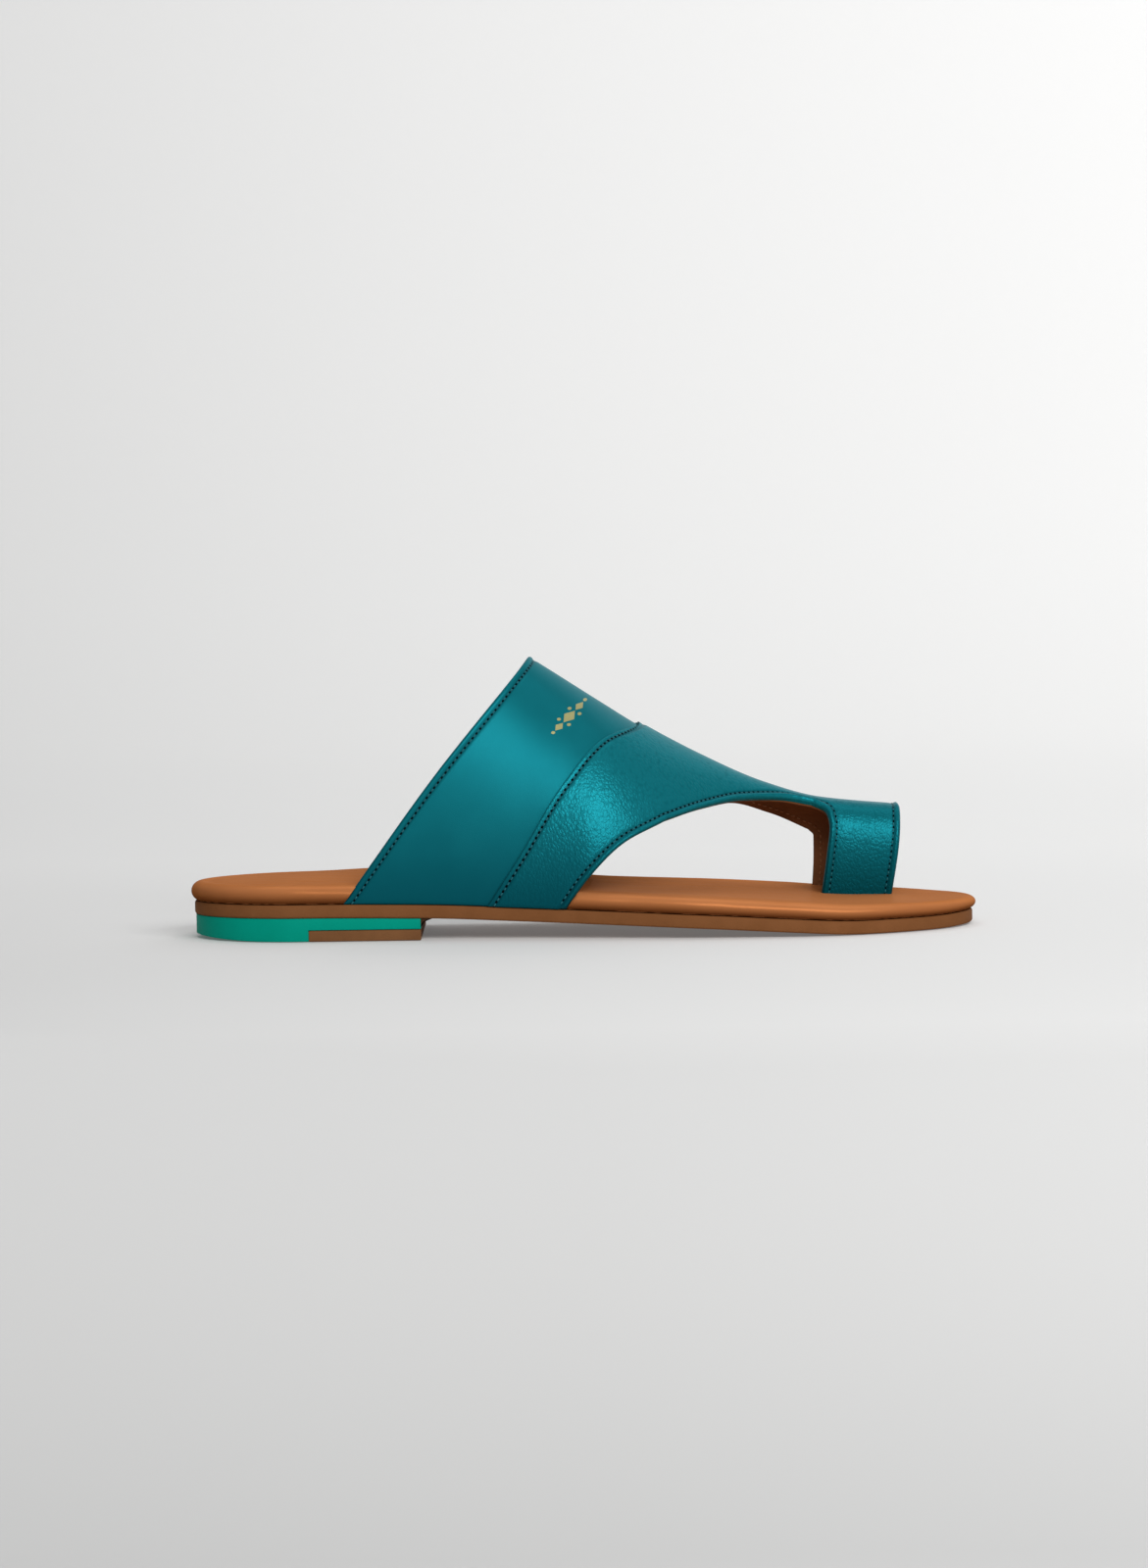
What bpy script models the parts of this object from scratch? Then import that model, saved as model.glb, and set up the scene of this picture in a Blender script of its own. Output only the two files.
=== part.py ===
"""Slide sandal for the right foot: a flat sole with a low heel, a padded footbed and a leather
upper whose instep band runs forward, as a front panel, to a loop for the big toe.

Sizes are in millimetres. x runs from the back of the heel to the toe, y from the outer side of
the foot (minus) to its inner side (plus), and z up from the floor. The origin of the finished
part is on the floor, in the middle of its length and width.
"""
from collections import namedtuple

import bmesh
import bpy
import numpy as np

# Driving dimensions
MM = 0.001
FOOTBED_LENGTH = 280.0
FOOTBED_EDGE = 3.6
FOOTBED_OVERHANG = 1.2
FOOTBED_DISH = 0.6
HEEL_PAD_RISE = 0.8
OUTSOLE_THICKNESS = 4.7
OUTSOLE_EDGE = 0.7
HEEL_LENGTH = 82.6
HEEL_TOP_PIECE_LENGTH = 39.5
HEEL_TOP_PIECE_HEIGHT = 3.9
HEEL_INSET = 0.4
HEEL_BEVEL = 1.6
HEEL_BEVEL_LENGTH = 28.0
BREAST_STRIP_LENGTH = 3.9
BREAST_STRIP_HEIGHT = 3.0
UPPER_WALL = 1.8
PANEL_WALL = 1.0
LOOP_OUTER_LEG = 10.8
LOOP_INNER_LEG = 39.0
GAP = 0.3
SLOT_END_GAP = 1.0

# How far the outline takes to close round the heel and the toe, and where the toe tip lies
HEEL_ROUND = 40.0
TOE_ROUND = 58.0
TOE_TIP_SHIFT = 1.0

# Mesh fineness
OUTLINE_STEPS = 36
FOOTBED_COLUMNS = 8
BAND_STEPS = 5
PANEL_STEPS = 5
NECK_STEPS = 7
LOOP_STEPS = 4
LEG_STEPS = 8
CROWN_STEPS = 5

# The sole: half widths to each side, underside of the outsole, footbed thickness, rise of the arch
SoleRow = namedtuple("SoleRow", "x outer inner bottom footbed arch")
SOLE = [
    SoleRow(x=0, outer=31.5, inner=31.5, bottom=8.2, footbed=6.6, arch=0.0),
    SoleRow(x=40, outer=33.0, inner=33.0, bottom=8.2, footbed=6.6, arch=0.3),
    SoleRow(x=84, outer=34.5, inner=31.5, bottom=7.6, footbed=6.6, arch=2.2),
    SoleRow(x=118, outer=37.5, inner=32.0, bottom=6.2, footbed=6.4, arch=2.0),
    SoleRow(x=150, outer=42.5, inner=36.0, bottom=4.8, footbed=6.2, arch=0.3),
    SoleRow(x=185, outer=47.0, inner=43.5, bottom=3.1, footbed=6.0, arch=0.0),
    SoleRow(x=212, outer=46.8, inner=46.6, bottom=1.4, footbed=5.8, arch=0.0),
    SoleRow(x=238, outer=44.0, inner=46.0, bottom=0.0, footbed=5.4, arch=0.0),
    SoleRow(x=264, outer=41.0, inner=43.0, bottom=0.0, footbed=4.8, arch=0.0),
    SoleRow(x=280, outer=39.0, inner=41.0, bottom=0.6, footbed=4.4, arch=0.0),
]

# The crest of the upper over the instep and the toe loop, and how square each arch is
CrestRow = namedtuple("CrestRow", "x z y squareness")
CREST = [
    CrestRow(x=50, z=142.0, y=2.0, squareness=2.1),
    CrestRow(x=122, z=97.5, y=4.0, squareness=2.1),
    CrestRow(x=148, z=80.4, y=7.0, squareness=2.1),
    CrestRow(x=160, z=72.6, y=9.0, squareness=2.1),
    CrestRow(x=183, z=59.7, y=14.0, squareness=2.2),
    CrestRow(x=205, z=49.3, y=20.0, squareness=2.8),
    CrestRow(x=226, z=42.9, y=24.5, squareness=3.8),
    CrestRow(x=258, z=39.5, y=25.0, squareness=3.6),
]

# Edges of the upper in side view, from the sole to the crest; FLOOR and SKY stand for those ends
EdgePoint = namedtuple("EdgePoint", "x z")
FLOOR, SKY = 0.0, 999.0
OUTER_EDGES = {
    "rear": [EdgePoint(55.4, FLOOR), EdgePoint(88.9, 58.4), EdgePoint(121.8, SKY)],
    "seam": [EdgePoint(106.2, FLOOR), EdgePoint(118.1, 29.7), EdgePoint(133.9, 54.6),
             EdgePoint(149.0, 69.5), EdgePoint(160.4, SKY)],
    "window_rear": [EdgePoint(133.8, FLOOR), EdgePoint(141.5, 20.9), EdgePoint(154.5, 33.2),
                    EdgePoint(169.0, 39.8)],
    "window_top": [EdgePoint(169.0, 39.8), EdgePoint(182.3, 43.1), EdgePoint(196.6, 44.9),
                   EdgePoint(211.0, 44.4), EdgePoint(222.8, 42.3)],
    "loop_rear": [EdgePoint(224.8, FLOOR), EdgePoint(227.8, 25.0), EdgePoint(228.9, 34.5),
                  EdgePoint(227.8, 39.2), EdgePoint(222.8, 42.3)],
    "loop_front": [EdgePoint(250.0, FLOOR), EdgePoint(254.2, 32.0), EdgePoint(254.6, SKY)],
}
INNER_EDGES = {
    "rear": [EdgePoint(64.0, FLOOR), EdgePoint(93.5, 58.0), EdgePoint(121.8, SKY)],
    "seam": [EdgePoint(110.0, FLOOR), EdgePoint(121.0, 29.7), EdgePoint(135.5, 54.6),
             EdgePoint(150.0, 69.5), EdgePoint(160.4, SKY)],
    "window_rear": [EdgePoint(138.0, FLOOR), EdgePoint(144.0, 20.5), EdgePoint(155.0, 32.0),
                    EdgePoint(169.0, 38.4)],
    "window_top": [EdgePoint(169.0, 38.4), EdgePoint(182.0, 42.0), EdgePoint(194.0, 42.6),
                   EdgePoint(208.0, 38.6), EdgePoint(222.2, 31.9)],
    "loop_rear": [EdgePoint(223.2, FLOOR), EdgePoint(224.2, 24.0), EdgePoint(224.2, 29.4),
                  EdgePoint(222.2, 31.9)],
    "loop_front": [EdgePoint(249.4, FLOOR), EdgePoint(253.4, 32.0), EdgePoint(254.6, SKY)],
}
# Where the front of the band and the back of the loop cross the crest
NECK_CREST_START, NECK_CREST_END = 190.0, 225.0

# Colours in linear light, with roughness
Finish = namedtuple("Finish", "colour roughness")
TEAL_SMOOTH = Finish((0.012, 0.220, 0.262, 1.0), 0.45)
TEAL_GRAIN = Finish((0.010, 0.195, 0.235, 1.0), 0.40)
TAN = Finish((0.380, 0.140, 0.052, 1.0), 0.55)
BROWN = Finish((0.190, 0.078, 0.028, 1.0), 0.70)
DARK_BROWN = Finish((0.050, 0.024, 0.012, 1.0), 0.75)
GREEN = Finish((0.001, 0.283, 0.202, 1.0), 0.60)


def smooth(x, xs, ys):
    """Curve through a table, without overshoot: each slope is the harmonic mean of its two chords."""
    xs, ys, x = np.asarray(xs, float), np.asarray(ys, float), np.asarray(x, float)
    step = np.diff(xs)
    chord = np.diff(ys) / step
    before, after = chord[:-1], chord[1:]
    same_way = before * after > 0
    total = np.where(same_way, before + after, 1.0)
    inner_slope = np.where(same_way, 2 * before * after / total, 0.0)
    slope = np.concatenate([chord[:1], inner_slope, chord[-1:]])
    i = np.clip(np.searchsorted(xs, x, side="right") - 1, 0, len(step) - 1)
    t = np.clip((x - xs[i]) / step[i], 0.0, 1.0)
    start, end = slope[i] * step[i], slope[i + 1] * step[i]
    rise = ys[i + 1] - ys[i]
    return ys[i] + t * (start + t * (3 * rise - 2 * start - end + t * (start + end - 2 * rise)))


def ease(x, low, high):
    """Smooth step from 0 at low to 1 at high."""
    t = np.clip((np.asarray(x, float) - low) / (high - low), 0.0, 1.0)
    return t * t * (3 - 2 * t)


def sole(x, column):
    """One column of the sole's table at x."""
    return smooth(x, [row.x for row in SOLE], [getattr(row, column) for row in SOLE])


def crest(x, column):
    """One column of the crest's table at x."""
    return smooth(x, [row.x for row in CREST], [getattr(row, column) for row in CREST])


def end_rounding(x):
    """Share of the full width at x: round at the heel and at the toe, 1 between them."""
    heel = np.clip(1 - x / HEEL_ROUND, 0.0, 1.0)
    toe = np.clip(1 - (FOOTBED_LENGTH - x) / TOE_ROUND, 0.0, 1.0)
    return np.sqrt(np.clip(1 - heel**2, 0, 1)) * np.sqrt(np.clip(1 - toe**2, 0, 1))


def footbed_side(x, side):
    """y of the footbed's edge on the outer (-1) or inner (+1) side."""
    column = "outer" if side < 0 else "inner"
    shift = TOE_TIP_SHIFT * ease(x, FOOTBED_LENGTH - 2 * TOE_ROUND, FOOTBED_LENGTH)
    return shift + side * sole(x, column) * end_rounding(x)


def outsole_top(x):
    return sole(x, "bottom") + OUTSOLE_THICKNESS


def footbed_outline(inset):
    """Closed outline, from the heel along the outer side to the toe and back along the inner side."""
    turn = np.linspace(0, np.pi, OUTLINE_STEPS + 1)
    x = FOOTBED_LENGTH / 2 * (1 - np.cos(turn))
    outer, inner = footbed_side(x, -1), footbed_side(x, 1)
    ring = np.concatenate([np.stack([x, outer], 1), np.stack([x, inner], 1)[-2:0:-1]])
    tangent = np.roll(ring, -1, axis=0) - np.roll(ring, 1, axis=0)
    tangent /= np.linalg.norm(tangent, axis=1, keepdims=True)
    outward = np.stack([tangent[:, 1], -tangent[:, 0]], 1)
    return ring - inset * outward


WIDTH_CENTRE = (footbed_outline(0.0)[:, 1].min() + footbed_outline(0.0)[:, 1].max()) / 2


def to_metres(points):
    """Move points from the design axes to the part's origin, in metres."""
    return (np.asarray(points, float) - (FOOTBED_LENGTH / 2, WIDTH_CENTRE, 0.0)) * MM


def new_material(name, finish):
    material = bpy.data.materials.new(name)
    material.use_nodes = True
    shader = material.node_tree.nodes["Principled BSDF"]
    shader.inputs["Base Color"].default_value = finish.colour
    shader.inputs["Roughness"].default_value = finish.roughness
    shader.inputs["Metallic"].default_value = 0.0
    return material


def new_object(name, mesh, finish=None):
    """Object in the sandal's collection with its own material, or a cutter if it has no finish."""
    piece = bpy.data.objects.new(name, mesh)
    if finish is None:
        CUTTERS.objects.link(piece)
        piece.hide_render = True
        piece.display_type = "WIRE"
    else:
        SANDAL.objects.link(piece)
        mesh.materials.append(new_material(name + "_finish", finish))
        mesh.shade_smooth()
        mesh.set_sharp_from_angle(angle=np.radians(35))
    return piece


def mesh_from(name, points, faces):
    mesh = bpy.data.meshes.new(name)
    mesh.from_pydata(to_metres(points).tolist(), [], faces)
    return mesh


def close_and_orient(mesh):
    """Merge the points that coincide and turn every face outwards."""
    work = bmesh.new()
    work.from_mesh(mesh)
    bmesh.ops.remove_doubles(work, verts=work.verts, dist=0.01 * MM)
    bmesh.ops.dissolve_degenerate(work, edges=work.edges, dist=0.01 * MM)
    bmesh.ops.recalc_face_normals(work, faces=work.faces)
    work.to_mesh(mesh)
    work.free()


def cut(piece, cutter):
    """Take the cutter's volume out of the piece."""
    modifier = piece.modifiers.new("cut_" + cutter.name, "BOOLEAN")
    modifier.operation = "DIFFERENCE"
    modifier.solver = "EXACT"
    modifier.object = cutter


def box_cutter(name, low, high):
    """Box between two corners."""
    mesh = bpy.data.meshes.new(name)
    work = bmesh.new()
    bmesh.ops.create_cube(work, size=1.0)
    low, high = to_metres(low), to_metres(high)
    for vert in work.verts:
        vert.co = (low + high) / 2 + (high - low) * np.array(vert.co)
    work.to_mesh(mesh)
    work.free()
    return new_object(name, mesh)


def layer_mesh(name, rings, top_columns, relief):
    """Solid between stacked closed rings, with its top filled by rows that run across the sole.

    relief gives the height added to the top at x and at s, which runs from 0 to 1 across it.
    """
    count = len(rings[0])
    half = count // 2
    points = list(np.concatenate(rings))
    faces = []
    for level in range(len(rings) - 1):
        for k in range(count):
            a, b = level * count + k, level * count + (k + 1) % count
            faces.append((a, b, b + count, a + count))

    def row(start, k, columns):
        """Vertex numbers of the row from the outer side at k to the inner side at count - k."""
        if k in (0, half):
            return [start + k]
        first, last = points[start + k], points[start + count - k]
        numbers = [start + k]
        for s in np.arange(1, columns) / columns:
            point = (1 - s) * first + s * last
            point[2] += relief(point[0], s)
            numbers.append(len(points))
            points.append(point)
        return numbers + [start + count - k]

    def fill(start, columns, upward):
        rows = [row(start, k, columns) for k in range(half + 1)]
        for back, front in zip(rows[:-1], rows[1:]):
            for j in range(columns):
                corners = [back[min(j, len(back) - 1)], front[min(j, len(front) - 1)],
                           front[min(j + 1, len(front) - 1)], back[min(j + 1, len(back) - 1)]]
                face = list(dict.fromkeys(corners))
                faces.append(face if upward else face[::-1])

    fill((len(rings) - 1) * count, top_columns, upward=True)
    fill(0, 1, upward=False)
    mesh = mesh_from(name, points, faces)
    close_and_orient(mesh)
    return mesh


def make_outsole():
    """Bent plate with a slightly eased edge, level under the forefoot."""
    profile = [(OUTSOLE_EDGE, 0.0), (0.0, OUTSOLE_EDGE), (0.0, OUTSOLE_THICKNESS)]
    rings = []
    for inset, height in profile:
        ring = footbed_outline(FOOTBED_OVERHANG + inset)
        rings.append(np.column_stack([ring, sole(ring[:, 0], "bottom") + height]))
    return new_object("outsole", layer_mesh("outsole", rings, 1, None), BROWN)


def make_footbed():
    """Padded layer with a soft round edge, a shallow dish, a heel pad and a low arch."""
    inner_side = np.arange(2 * OUTLINE_STEPS) > OUTLINE_STEPS
    rings = []
    for angle in np.radians([-62, -35, 0, 30, 58, 90]):
        ring = footbed_outline(FOOTBED_EDGE * (1 - np.cos(angle)))
        x = ring[:, 0]
        thickness = sole(x, "footbed") + np.where(inner_side, sole(x, "arch"), 0.0)
        share = (np.sin(angle) - np.sin(np.radians(-62))) / (1 - np.sin(np.radians(-62)))
        rings.append(np.column_stack([ring, outsole_top(x) + GAP + share * thickness]))

    def relief(x, s):
        """Dish that is deepest in the middle, less the pad under the heel and the arch's slope."""
        middle = 4 * s * (1 - s)
        pad = (FOOTBED_DISH + HEEL_PAD_RISE) * (1 - ease(x, 60, 120)) * middle * end_rounding(x)**2
        dish = FOOTBED_DISH * middle * end_rounding(x)**2
        return pad - dish + sole(x, "arch") * (ease(s, 0.45, 1.0) - s)

    mesh = layer_mesh("footbed", rings, FOOTBED_COLUMNS, relief)
    return new_object("insole", mesh, TAN)


def heel_rows(start, end):
    """x, outer y and inner y of the heel's outline at each of its stations from start to end."""
    ring = footbed_outline(FOOTBED_OVERHANG + HEEL_INSET)
    outer = ring[:OUTLINE_STEPS + 1]
    inner = np.roll(ring[::-1], 1, axis=0)[:OUTLINE_STEPS + 1]
    start = max(start, outer[0, 0])
    between = outer[(outer[:, 0] > start) & (outer[:, 0] < end), 0]
    x = np.concatenate([[start], between, [end]])
    return x, np.interp(x, outer[:, 0], outer[:, 1]), np.interp(x, inner[:, 0], inner[:, 1])


def heel_mesh(name, start, end, height):
    """Slab of the heel's outline from start to end, up to height, with the back of its foot eased."""
    x, outer, inner = heel_rows(start, end)
    low = HEEL_BEVEL * np.clip(1 - x / HEEL_BEVEL_LENGTH, 0, 1)**2
    top = height(x)
    corners = [(x, outer, low), (x, inner, low), (x, inner, top), (x, outer, top)]
    points = np.stack([np.stack(corner, 1) for corner in corners], 1).reshape(-1, 3)
    last = 4 * (len(x) - 1)
    faces = [(3, 2, 1, 0), (last, last + 1, last + 2, last + 3)]
    for k in range(len(x) - 1):
        for c in range(4):
            a, b = 4 * k + c, 4 * k + (c + 1) % 4
            faces.append((a, b, b + 4, a + 4))
    mesh = mesh_from(name, points, faces)
    close_and_orient(mesh)
    return mesh


def make_heel():
    """Green block with a step at its front, the brown piece in that step and the strip before it."""
    def under_outsole(x):
        return sole(x, "bottom") - GAP

    step_x = HEEL_LENGTH - HEEL_TOP_PIECE_LENGTH
    block = new_object("heel_block", heel_mesh("heel_block", 0.0, HEEL_LENGTH, under_outsole), GREEN)
    reach = FOOTBED_LENGTH
    cut(block, box_cutter("heel_step", (step_x, -reach, -reach), (reach, reach, HEEL_TOP_PIECE_HEIGHT)))

    def top_piece_height(x):
        return np.full_like(x, HEEL_TOP_PIECE_HEIGHT - GAP)

    top_piece = heel_mesh("heel_top_piece", step_x + GAP, HEEL_LENGTH, top_piece_height)
    new_object("heel_top_piece", top_piece, BROWN)

    start, end = HEEL_LENGTH + GAP, HEEL_LENGTH + BREAST_STRIP_LENGTH
    turn = np.linspace(0, np.pi / 2, 5)
    x = np.concatenate([[start], end - (end - start) * np.sin(turn)[::-1] * 0.98])
    drop = np.concatenate([[0.0], BREAST_STRIP_HEIGHT * (1 - np.cos(turn))[::-1]])
    x[-1] = end
    z = sole(x, "bottom") - GAP - drop
    sides = [footbed_side(start, side) - side * (FOOTBED_OVERHANG + HEEL_INSET) for side in (-1, 1)]
    points = [(a, y, b) for y in sides for a, b in zip(x, z)]
    count = len(x)
    faces = [tuple(range(count)), tuple(range(2 * count - 1, count - 1, -1))]
    faces += [(k, k + count, (k + 1) % count + count, (k + 1) % count) for k in range(count)]
    strip = mesh_from("heel_breast_strip", points, faces)
    close_and_orient(strip)
    new_object("heel_breast_strip", strip, DARK_BROWN)


def base_z(x):
    """Foot of the upper: just clear of the outsole's top."""
    return outsole_top(x) + GAP


def leg_y(x, side):
    """y of the upper's foot: the outsole's edge along the band, the loop's leg at the toe."""
    band = footbed_side(x, side) - side * (FOOTBED_OVERHANG + GAP)
    leg = LOOP_OUTER_LEG if side < 0 else LOOP_INNER_LEG
    share = ease(x, 140.0, 226.0)
    return (1 - share) * band + share * leg


def upper_point(x, rise, side):
    """Point of the upper's outside at x and at rise, from 0 at the sole to 1 at the crest.

    Each arch is a superellipse: width share to the power n plus rise to the power n is 1.
    """
    n = crest(x, "squareness")
    width = (1 - np.clip(np.abs(rise), 0, 1)**n)**(1 / n)
    top_y = crest(x, "y")
    y = top_y + (leg_y(x, side) - top_y) * width
    z = base_z(x) + rise * (crest(x, "z") - base_z(x))
    return np.stack([x, y, z], -1)


def along_edge(points, shares):
    """x and rise at the given shares of an edge's length in side view."""
    x = np.array([point.x for point in points])
    z = np.clip([point.z for point in points], base_z(x), crest(x, "z"))
    length = np.concatenate([[0.0], np.cumsum(np.hypot(np.diff(x), np.diff(z)))])
    at = np.asarray(shares) * length[-1]
    x, z = smooth(at, length, x), smooth(at, length, z)
    low, high = base_z(x), crest(x, "z")
    return np.stack([x, np.clip((z - low) / (high - low), 0.0, 1.0)], -1)


def mix(a, b, share):
    return a + (b - a) * share


def half_rows(edges):
    """Rows of x and rise over one side of the upper, each from the sole to the crest.

    The neck's rows have no leg: those places hold nan.
    """
    leg = np.linspace(0, 1, LEG_STEPS + 1)
    crown = 1 - (1 - np.linspace(0, 1, CROWN_STEPS + 1))**1.7

    def whole(name, leg_share):
        shares = np.concatenate([leg * leg_share, leg_share + crown[1:] * (1 - leg_share)])
        return along_edge(edges[name], shares)

    def with_crown(name, crest_x):
        row = along_edge(edges[name], leg)
        top = np.array([crest_x, 1.0])
        return np.concatenate([row, mix(row[-1], top, crown[1:, None])])

    rear, seam = whole("rear", 0.6), whole("seam", 0.6)
    window = with_crown("window_rear", NECK_CREST_START)
    loop_rear = with_crown("loop_rear", NECK_CREST_END)
    loop_front = whole("loop_front", 0.86)
    rows = [mix(rear, seam, f) for f in np.linspace(0, 1, BAND_STEPS + 1)]
    rows += [mix(seam, window, f) for f in np.linspace(0, 1, PANEL_STEPS + 1)[1:]]
    neck_edge = along_edge(edges["window_top"], np.linspace(0, 1, NECK_STEPS + 1))
    fade = (1 - crown)[:, None]
    for k in range(1, NECK_STEPS):
        row = mix(window, loop_rear, k / NECK_STEPS)
        row[:LEG_STEPS] = np.nan
        row[LEG_STEPS:] += (neck_edge[k] - row[LEG_STEPS]) * fade
        rows.append(row)
    rows += [mix(loop_rear, loop_front, f) for f in np.linspace(0, 1, LOOP_STEPS + 1)]
    return np.array(rows)


def upper_grid():
    """Points of the upper's outside, by rows from the back to the toe and columns across the foot."""
    outer, inner = half_rows(OUTER_EDGES), half_rows(INNER_EDGES)
    outer_points = upper_point(outer[..., 0], outer[..., 1], -1)
    inner_points = upper_point(inner[..., 0], inner[..., 1], 1)
    return np.concatenate([outer_points, inner_points[:, -2::-1]], axis=1)


def sheet_mesh(name, grid, lift=0.0):
    """Open surface over a grid, without the places that hold nan, lifted along its normals."""
    rows, columns = grid.shape[:2]
    there = ~np.isnan(grid[..., 0])
    number = np.cumsum(there).reshape(rows, columns) - 1
    faces = []
    for i in range(rows - 1):
        for j in range(columns - 1):
            if there[i:i + 2, j:j + 2].all():
                faces.append((number[i, j], number[i + 1, j], number[i + 1, j + 1], number[i, j + 1]))
    mesh = mesh_from(name, grid[there], [tuple(int(n) for n in face) for face in faces])
    work = bmesh.new()
    work.from_mesh(mesh)
    work.normal_update()
    for vert in work.verts:
        vert.co += vert.normal * lift * MM
    work.to_mesh(mesh)
    work.free()
    return mesh


def thicken(piece, thickness, side):
    """Give an open surface a wall, inwards (-1) or outwards (+1)."""
    modifier = piece.modifiers.new("wall", "SOLIDIFY")
    modifier.thickness = thickness * MM
    modifier.offset = side
    modifier.use_rim = True


def make_upper():
    """Hollow upper, and the front panel that lies over its front half as a step."""
    grid = upper_grid()
    upper = new_object("upper", sheet_mesh("upper", grid), TEAL_SMOOTH)
    thicken(upper, UPPER_WALL, -1)
    panel = new_object("front_panel", sheet_mesh("front_panel", grid[BAND_STEPS:], GAP), TEAL_GRAIN)
    thicken(panel, PANEL_WALL, 1)


def clearance_cutter(name, edges, side, rear, front, top_rise, outward):
    """Room for one leg of the upper in the footbed, with a gap all round it."""
    shares = np.linspace(0, 1, 4 * LEG_STEPS)
    rear_edge, front_edge = along_edge(edges[rear], shares), along_edge(edges[front], shares)
    rise = np.linspace(-0.12, top_rise, LEG_STEPS)
    back = np.interp(rise, rear_edge[:, 1], rear_edge[:, 0]) - SLOT_END_GAP
    fore = np.interp(rise, front_edge[:, 1], front_edge[:, 0]) + SLOT_END_GAP
    share = np.linspace(0, 1, BAND_STEPS + PANEL_STEPS + 1)[:, None]
    x = mix(back, fore, share)
    grid = upper_point(x, np.broadcast_to(rise, x.shape), side)
    grid = grid if side < 0 else grid[:, ::-1]
    cutter = new_object(name, sheet_mesh(name, grid, -(UPPER_WALL + GAP)))
    thicken(cutter, UPPER_WALL + GAP + outward, 1)
    return cutter


def make_room_in_footbed(footbed):
    """The band's ends run down beside the footbed, and the loop's legs through slots in it."""
    leg_outward = PANEL_WALL + 2 * GAP
    for side, edges, label in ((-1, OUTER_EDGES, "outer"), (1, INNER_EDGES, "inner")):
        band = clearance_cutter("band_room_" + label, edges, side, "rear", "window_rear", 0.2, 8.0)
        slot = clearance_cutter("loop_slot_" + label, edges, side, "loop_rear", "loop_front", 0.4, leg_outward)
        cut(footbed, band)
        cut(footbed, slot)


for old in list(bpy.data.objects):
    bpy.data.objects.remove(old, do_unlink=True)
SANDAL = bpy.data.collections.new("toe_loop_sandal")
CUTTERS = bpy.data.collections.new("cutters")
bpy.context.scene.collection.children.link(SANDAL)
bpy.context.scene.collection.children.link(CUTTERS)

make_outsole()
make_heel()
make_room_in_footbed(make_footbed())
make_upper()
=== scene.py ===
# %% [markdown]
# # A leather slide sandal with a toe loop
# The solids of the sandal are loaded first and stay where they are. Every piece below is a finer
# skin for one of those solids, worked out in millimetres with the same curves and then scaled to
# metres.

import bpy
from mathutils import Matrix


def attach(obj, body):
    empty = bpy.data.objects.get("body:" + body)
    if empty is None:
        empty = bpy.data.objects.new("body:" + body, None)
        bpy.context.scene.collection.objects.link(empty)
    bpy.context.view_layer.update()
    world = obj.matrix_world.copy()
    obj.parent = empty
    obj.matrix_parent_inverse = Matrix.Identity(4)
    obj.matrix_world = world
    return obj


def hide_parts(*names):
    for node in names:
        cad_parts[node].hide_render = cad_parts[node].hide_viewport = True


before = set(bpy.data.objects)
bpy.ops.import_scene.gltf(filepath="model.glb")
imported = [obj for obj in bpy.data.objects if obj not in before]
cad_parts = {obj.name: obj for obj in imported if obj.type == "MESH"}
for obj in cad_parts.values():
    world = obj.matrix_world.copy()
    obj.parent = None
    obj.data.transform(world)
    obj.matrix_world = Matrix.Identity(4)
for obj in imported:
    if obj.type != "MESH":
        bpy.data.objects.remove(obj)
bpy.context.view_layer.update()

from collections import namedtuple

import bmesh
import bpy
import numpy as np
from mathutils import Matrix

# %% [markdown]
# ## The camera
# The picture is a side view from a little above the floor. The camera stands 1.8 m away on the outer
# side, looks 3.6 degrees down and is rolled by one degree, which lifts the toe a little in the frame.
# Writing its three axes out as a matrix is clearer than three turns in a row.

# %% Objects in the scene
def new_object(name, data):
    """Object with its data, linked into the scene."""
    made = bpy.data.objects.new(name, data)
    bpy.context.scene.collection.objects.link(made)
    return made


def stand_at(item, place, axes):
    """Sets an object at a place, turned to its three axes."""
    matrix = np.eye(4)
    matrix[:3, :3], matrix[:3, 3] = np.column_stack(axes), place
    item.matrix_world = Matrix(matrix.tolist())


# %% Camera
VIEW_TARGET = np.array([-0.00272, -0.00006, 0.05195])
VIEW_DISTANCE = 1.8
VIEW_DOWN, VIEW_ROLL = np.radians(3.6), np.radians(1.0)
FOCAL_PIXELS, PICTURE_HEIGHT = 5145.8, 1600

forward = np.array([0, np.cos(VIEW_DOWN), -np.sin(VIEW_DOWN)])
level_right = np.array([1.0, 0, 0])
level_up = np.array([0, np.sin(VIEW_DOWN), np.cos(VIEW_DOWN)])
right = np.cos(VIEW_ROLL) * level_right - np.sin(VIEW_ROLL) * level_up
up = np.sin(VIEW_ROLL) * level_right + np.cos(VIEW_ROLL) * level_up

camera_data = bpy.data.cameras.new("side_view")
camera_data.sensor_fit = "VERTICAL"
camera_data.sensor_height = 36.0
camera_data.lens = FOCAL_PIXELS * camera_data.sensor_height / PICTURE_HEIGHT
camera = new_object("side_view", camera_data)
camera_place = VIEW_TARGET - VIEW_DISTANCE * forward
stand_at(camera, camera_place, [right, up, -forward])
bpy.context.scene.camera = camera
print("camera at", np.round(camera_place, 3), "lens", round(camera_data.lens, 1), "mm")

# %% [markdown]
# ## Curves from short tables
# A last maker measures a shoe at a few stations and draws a fair curve through them. `smooth` does
# that without overshoot, and `ease` is the usual soft step between two places.

# %% Curves
MM = 0.001


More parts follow.
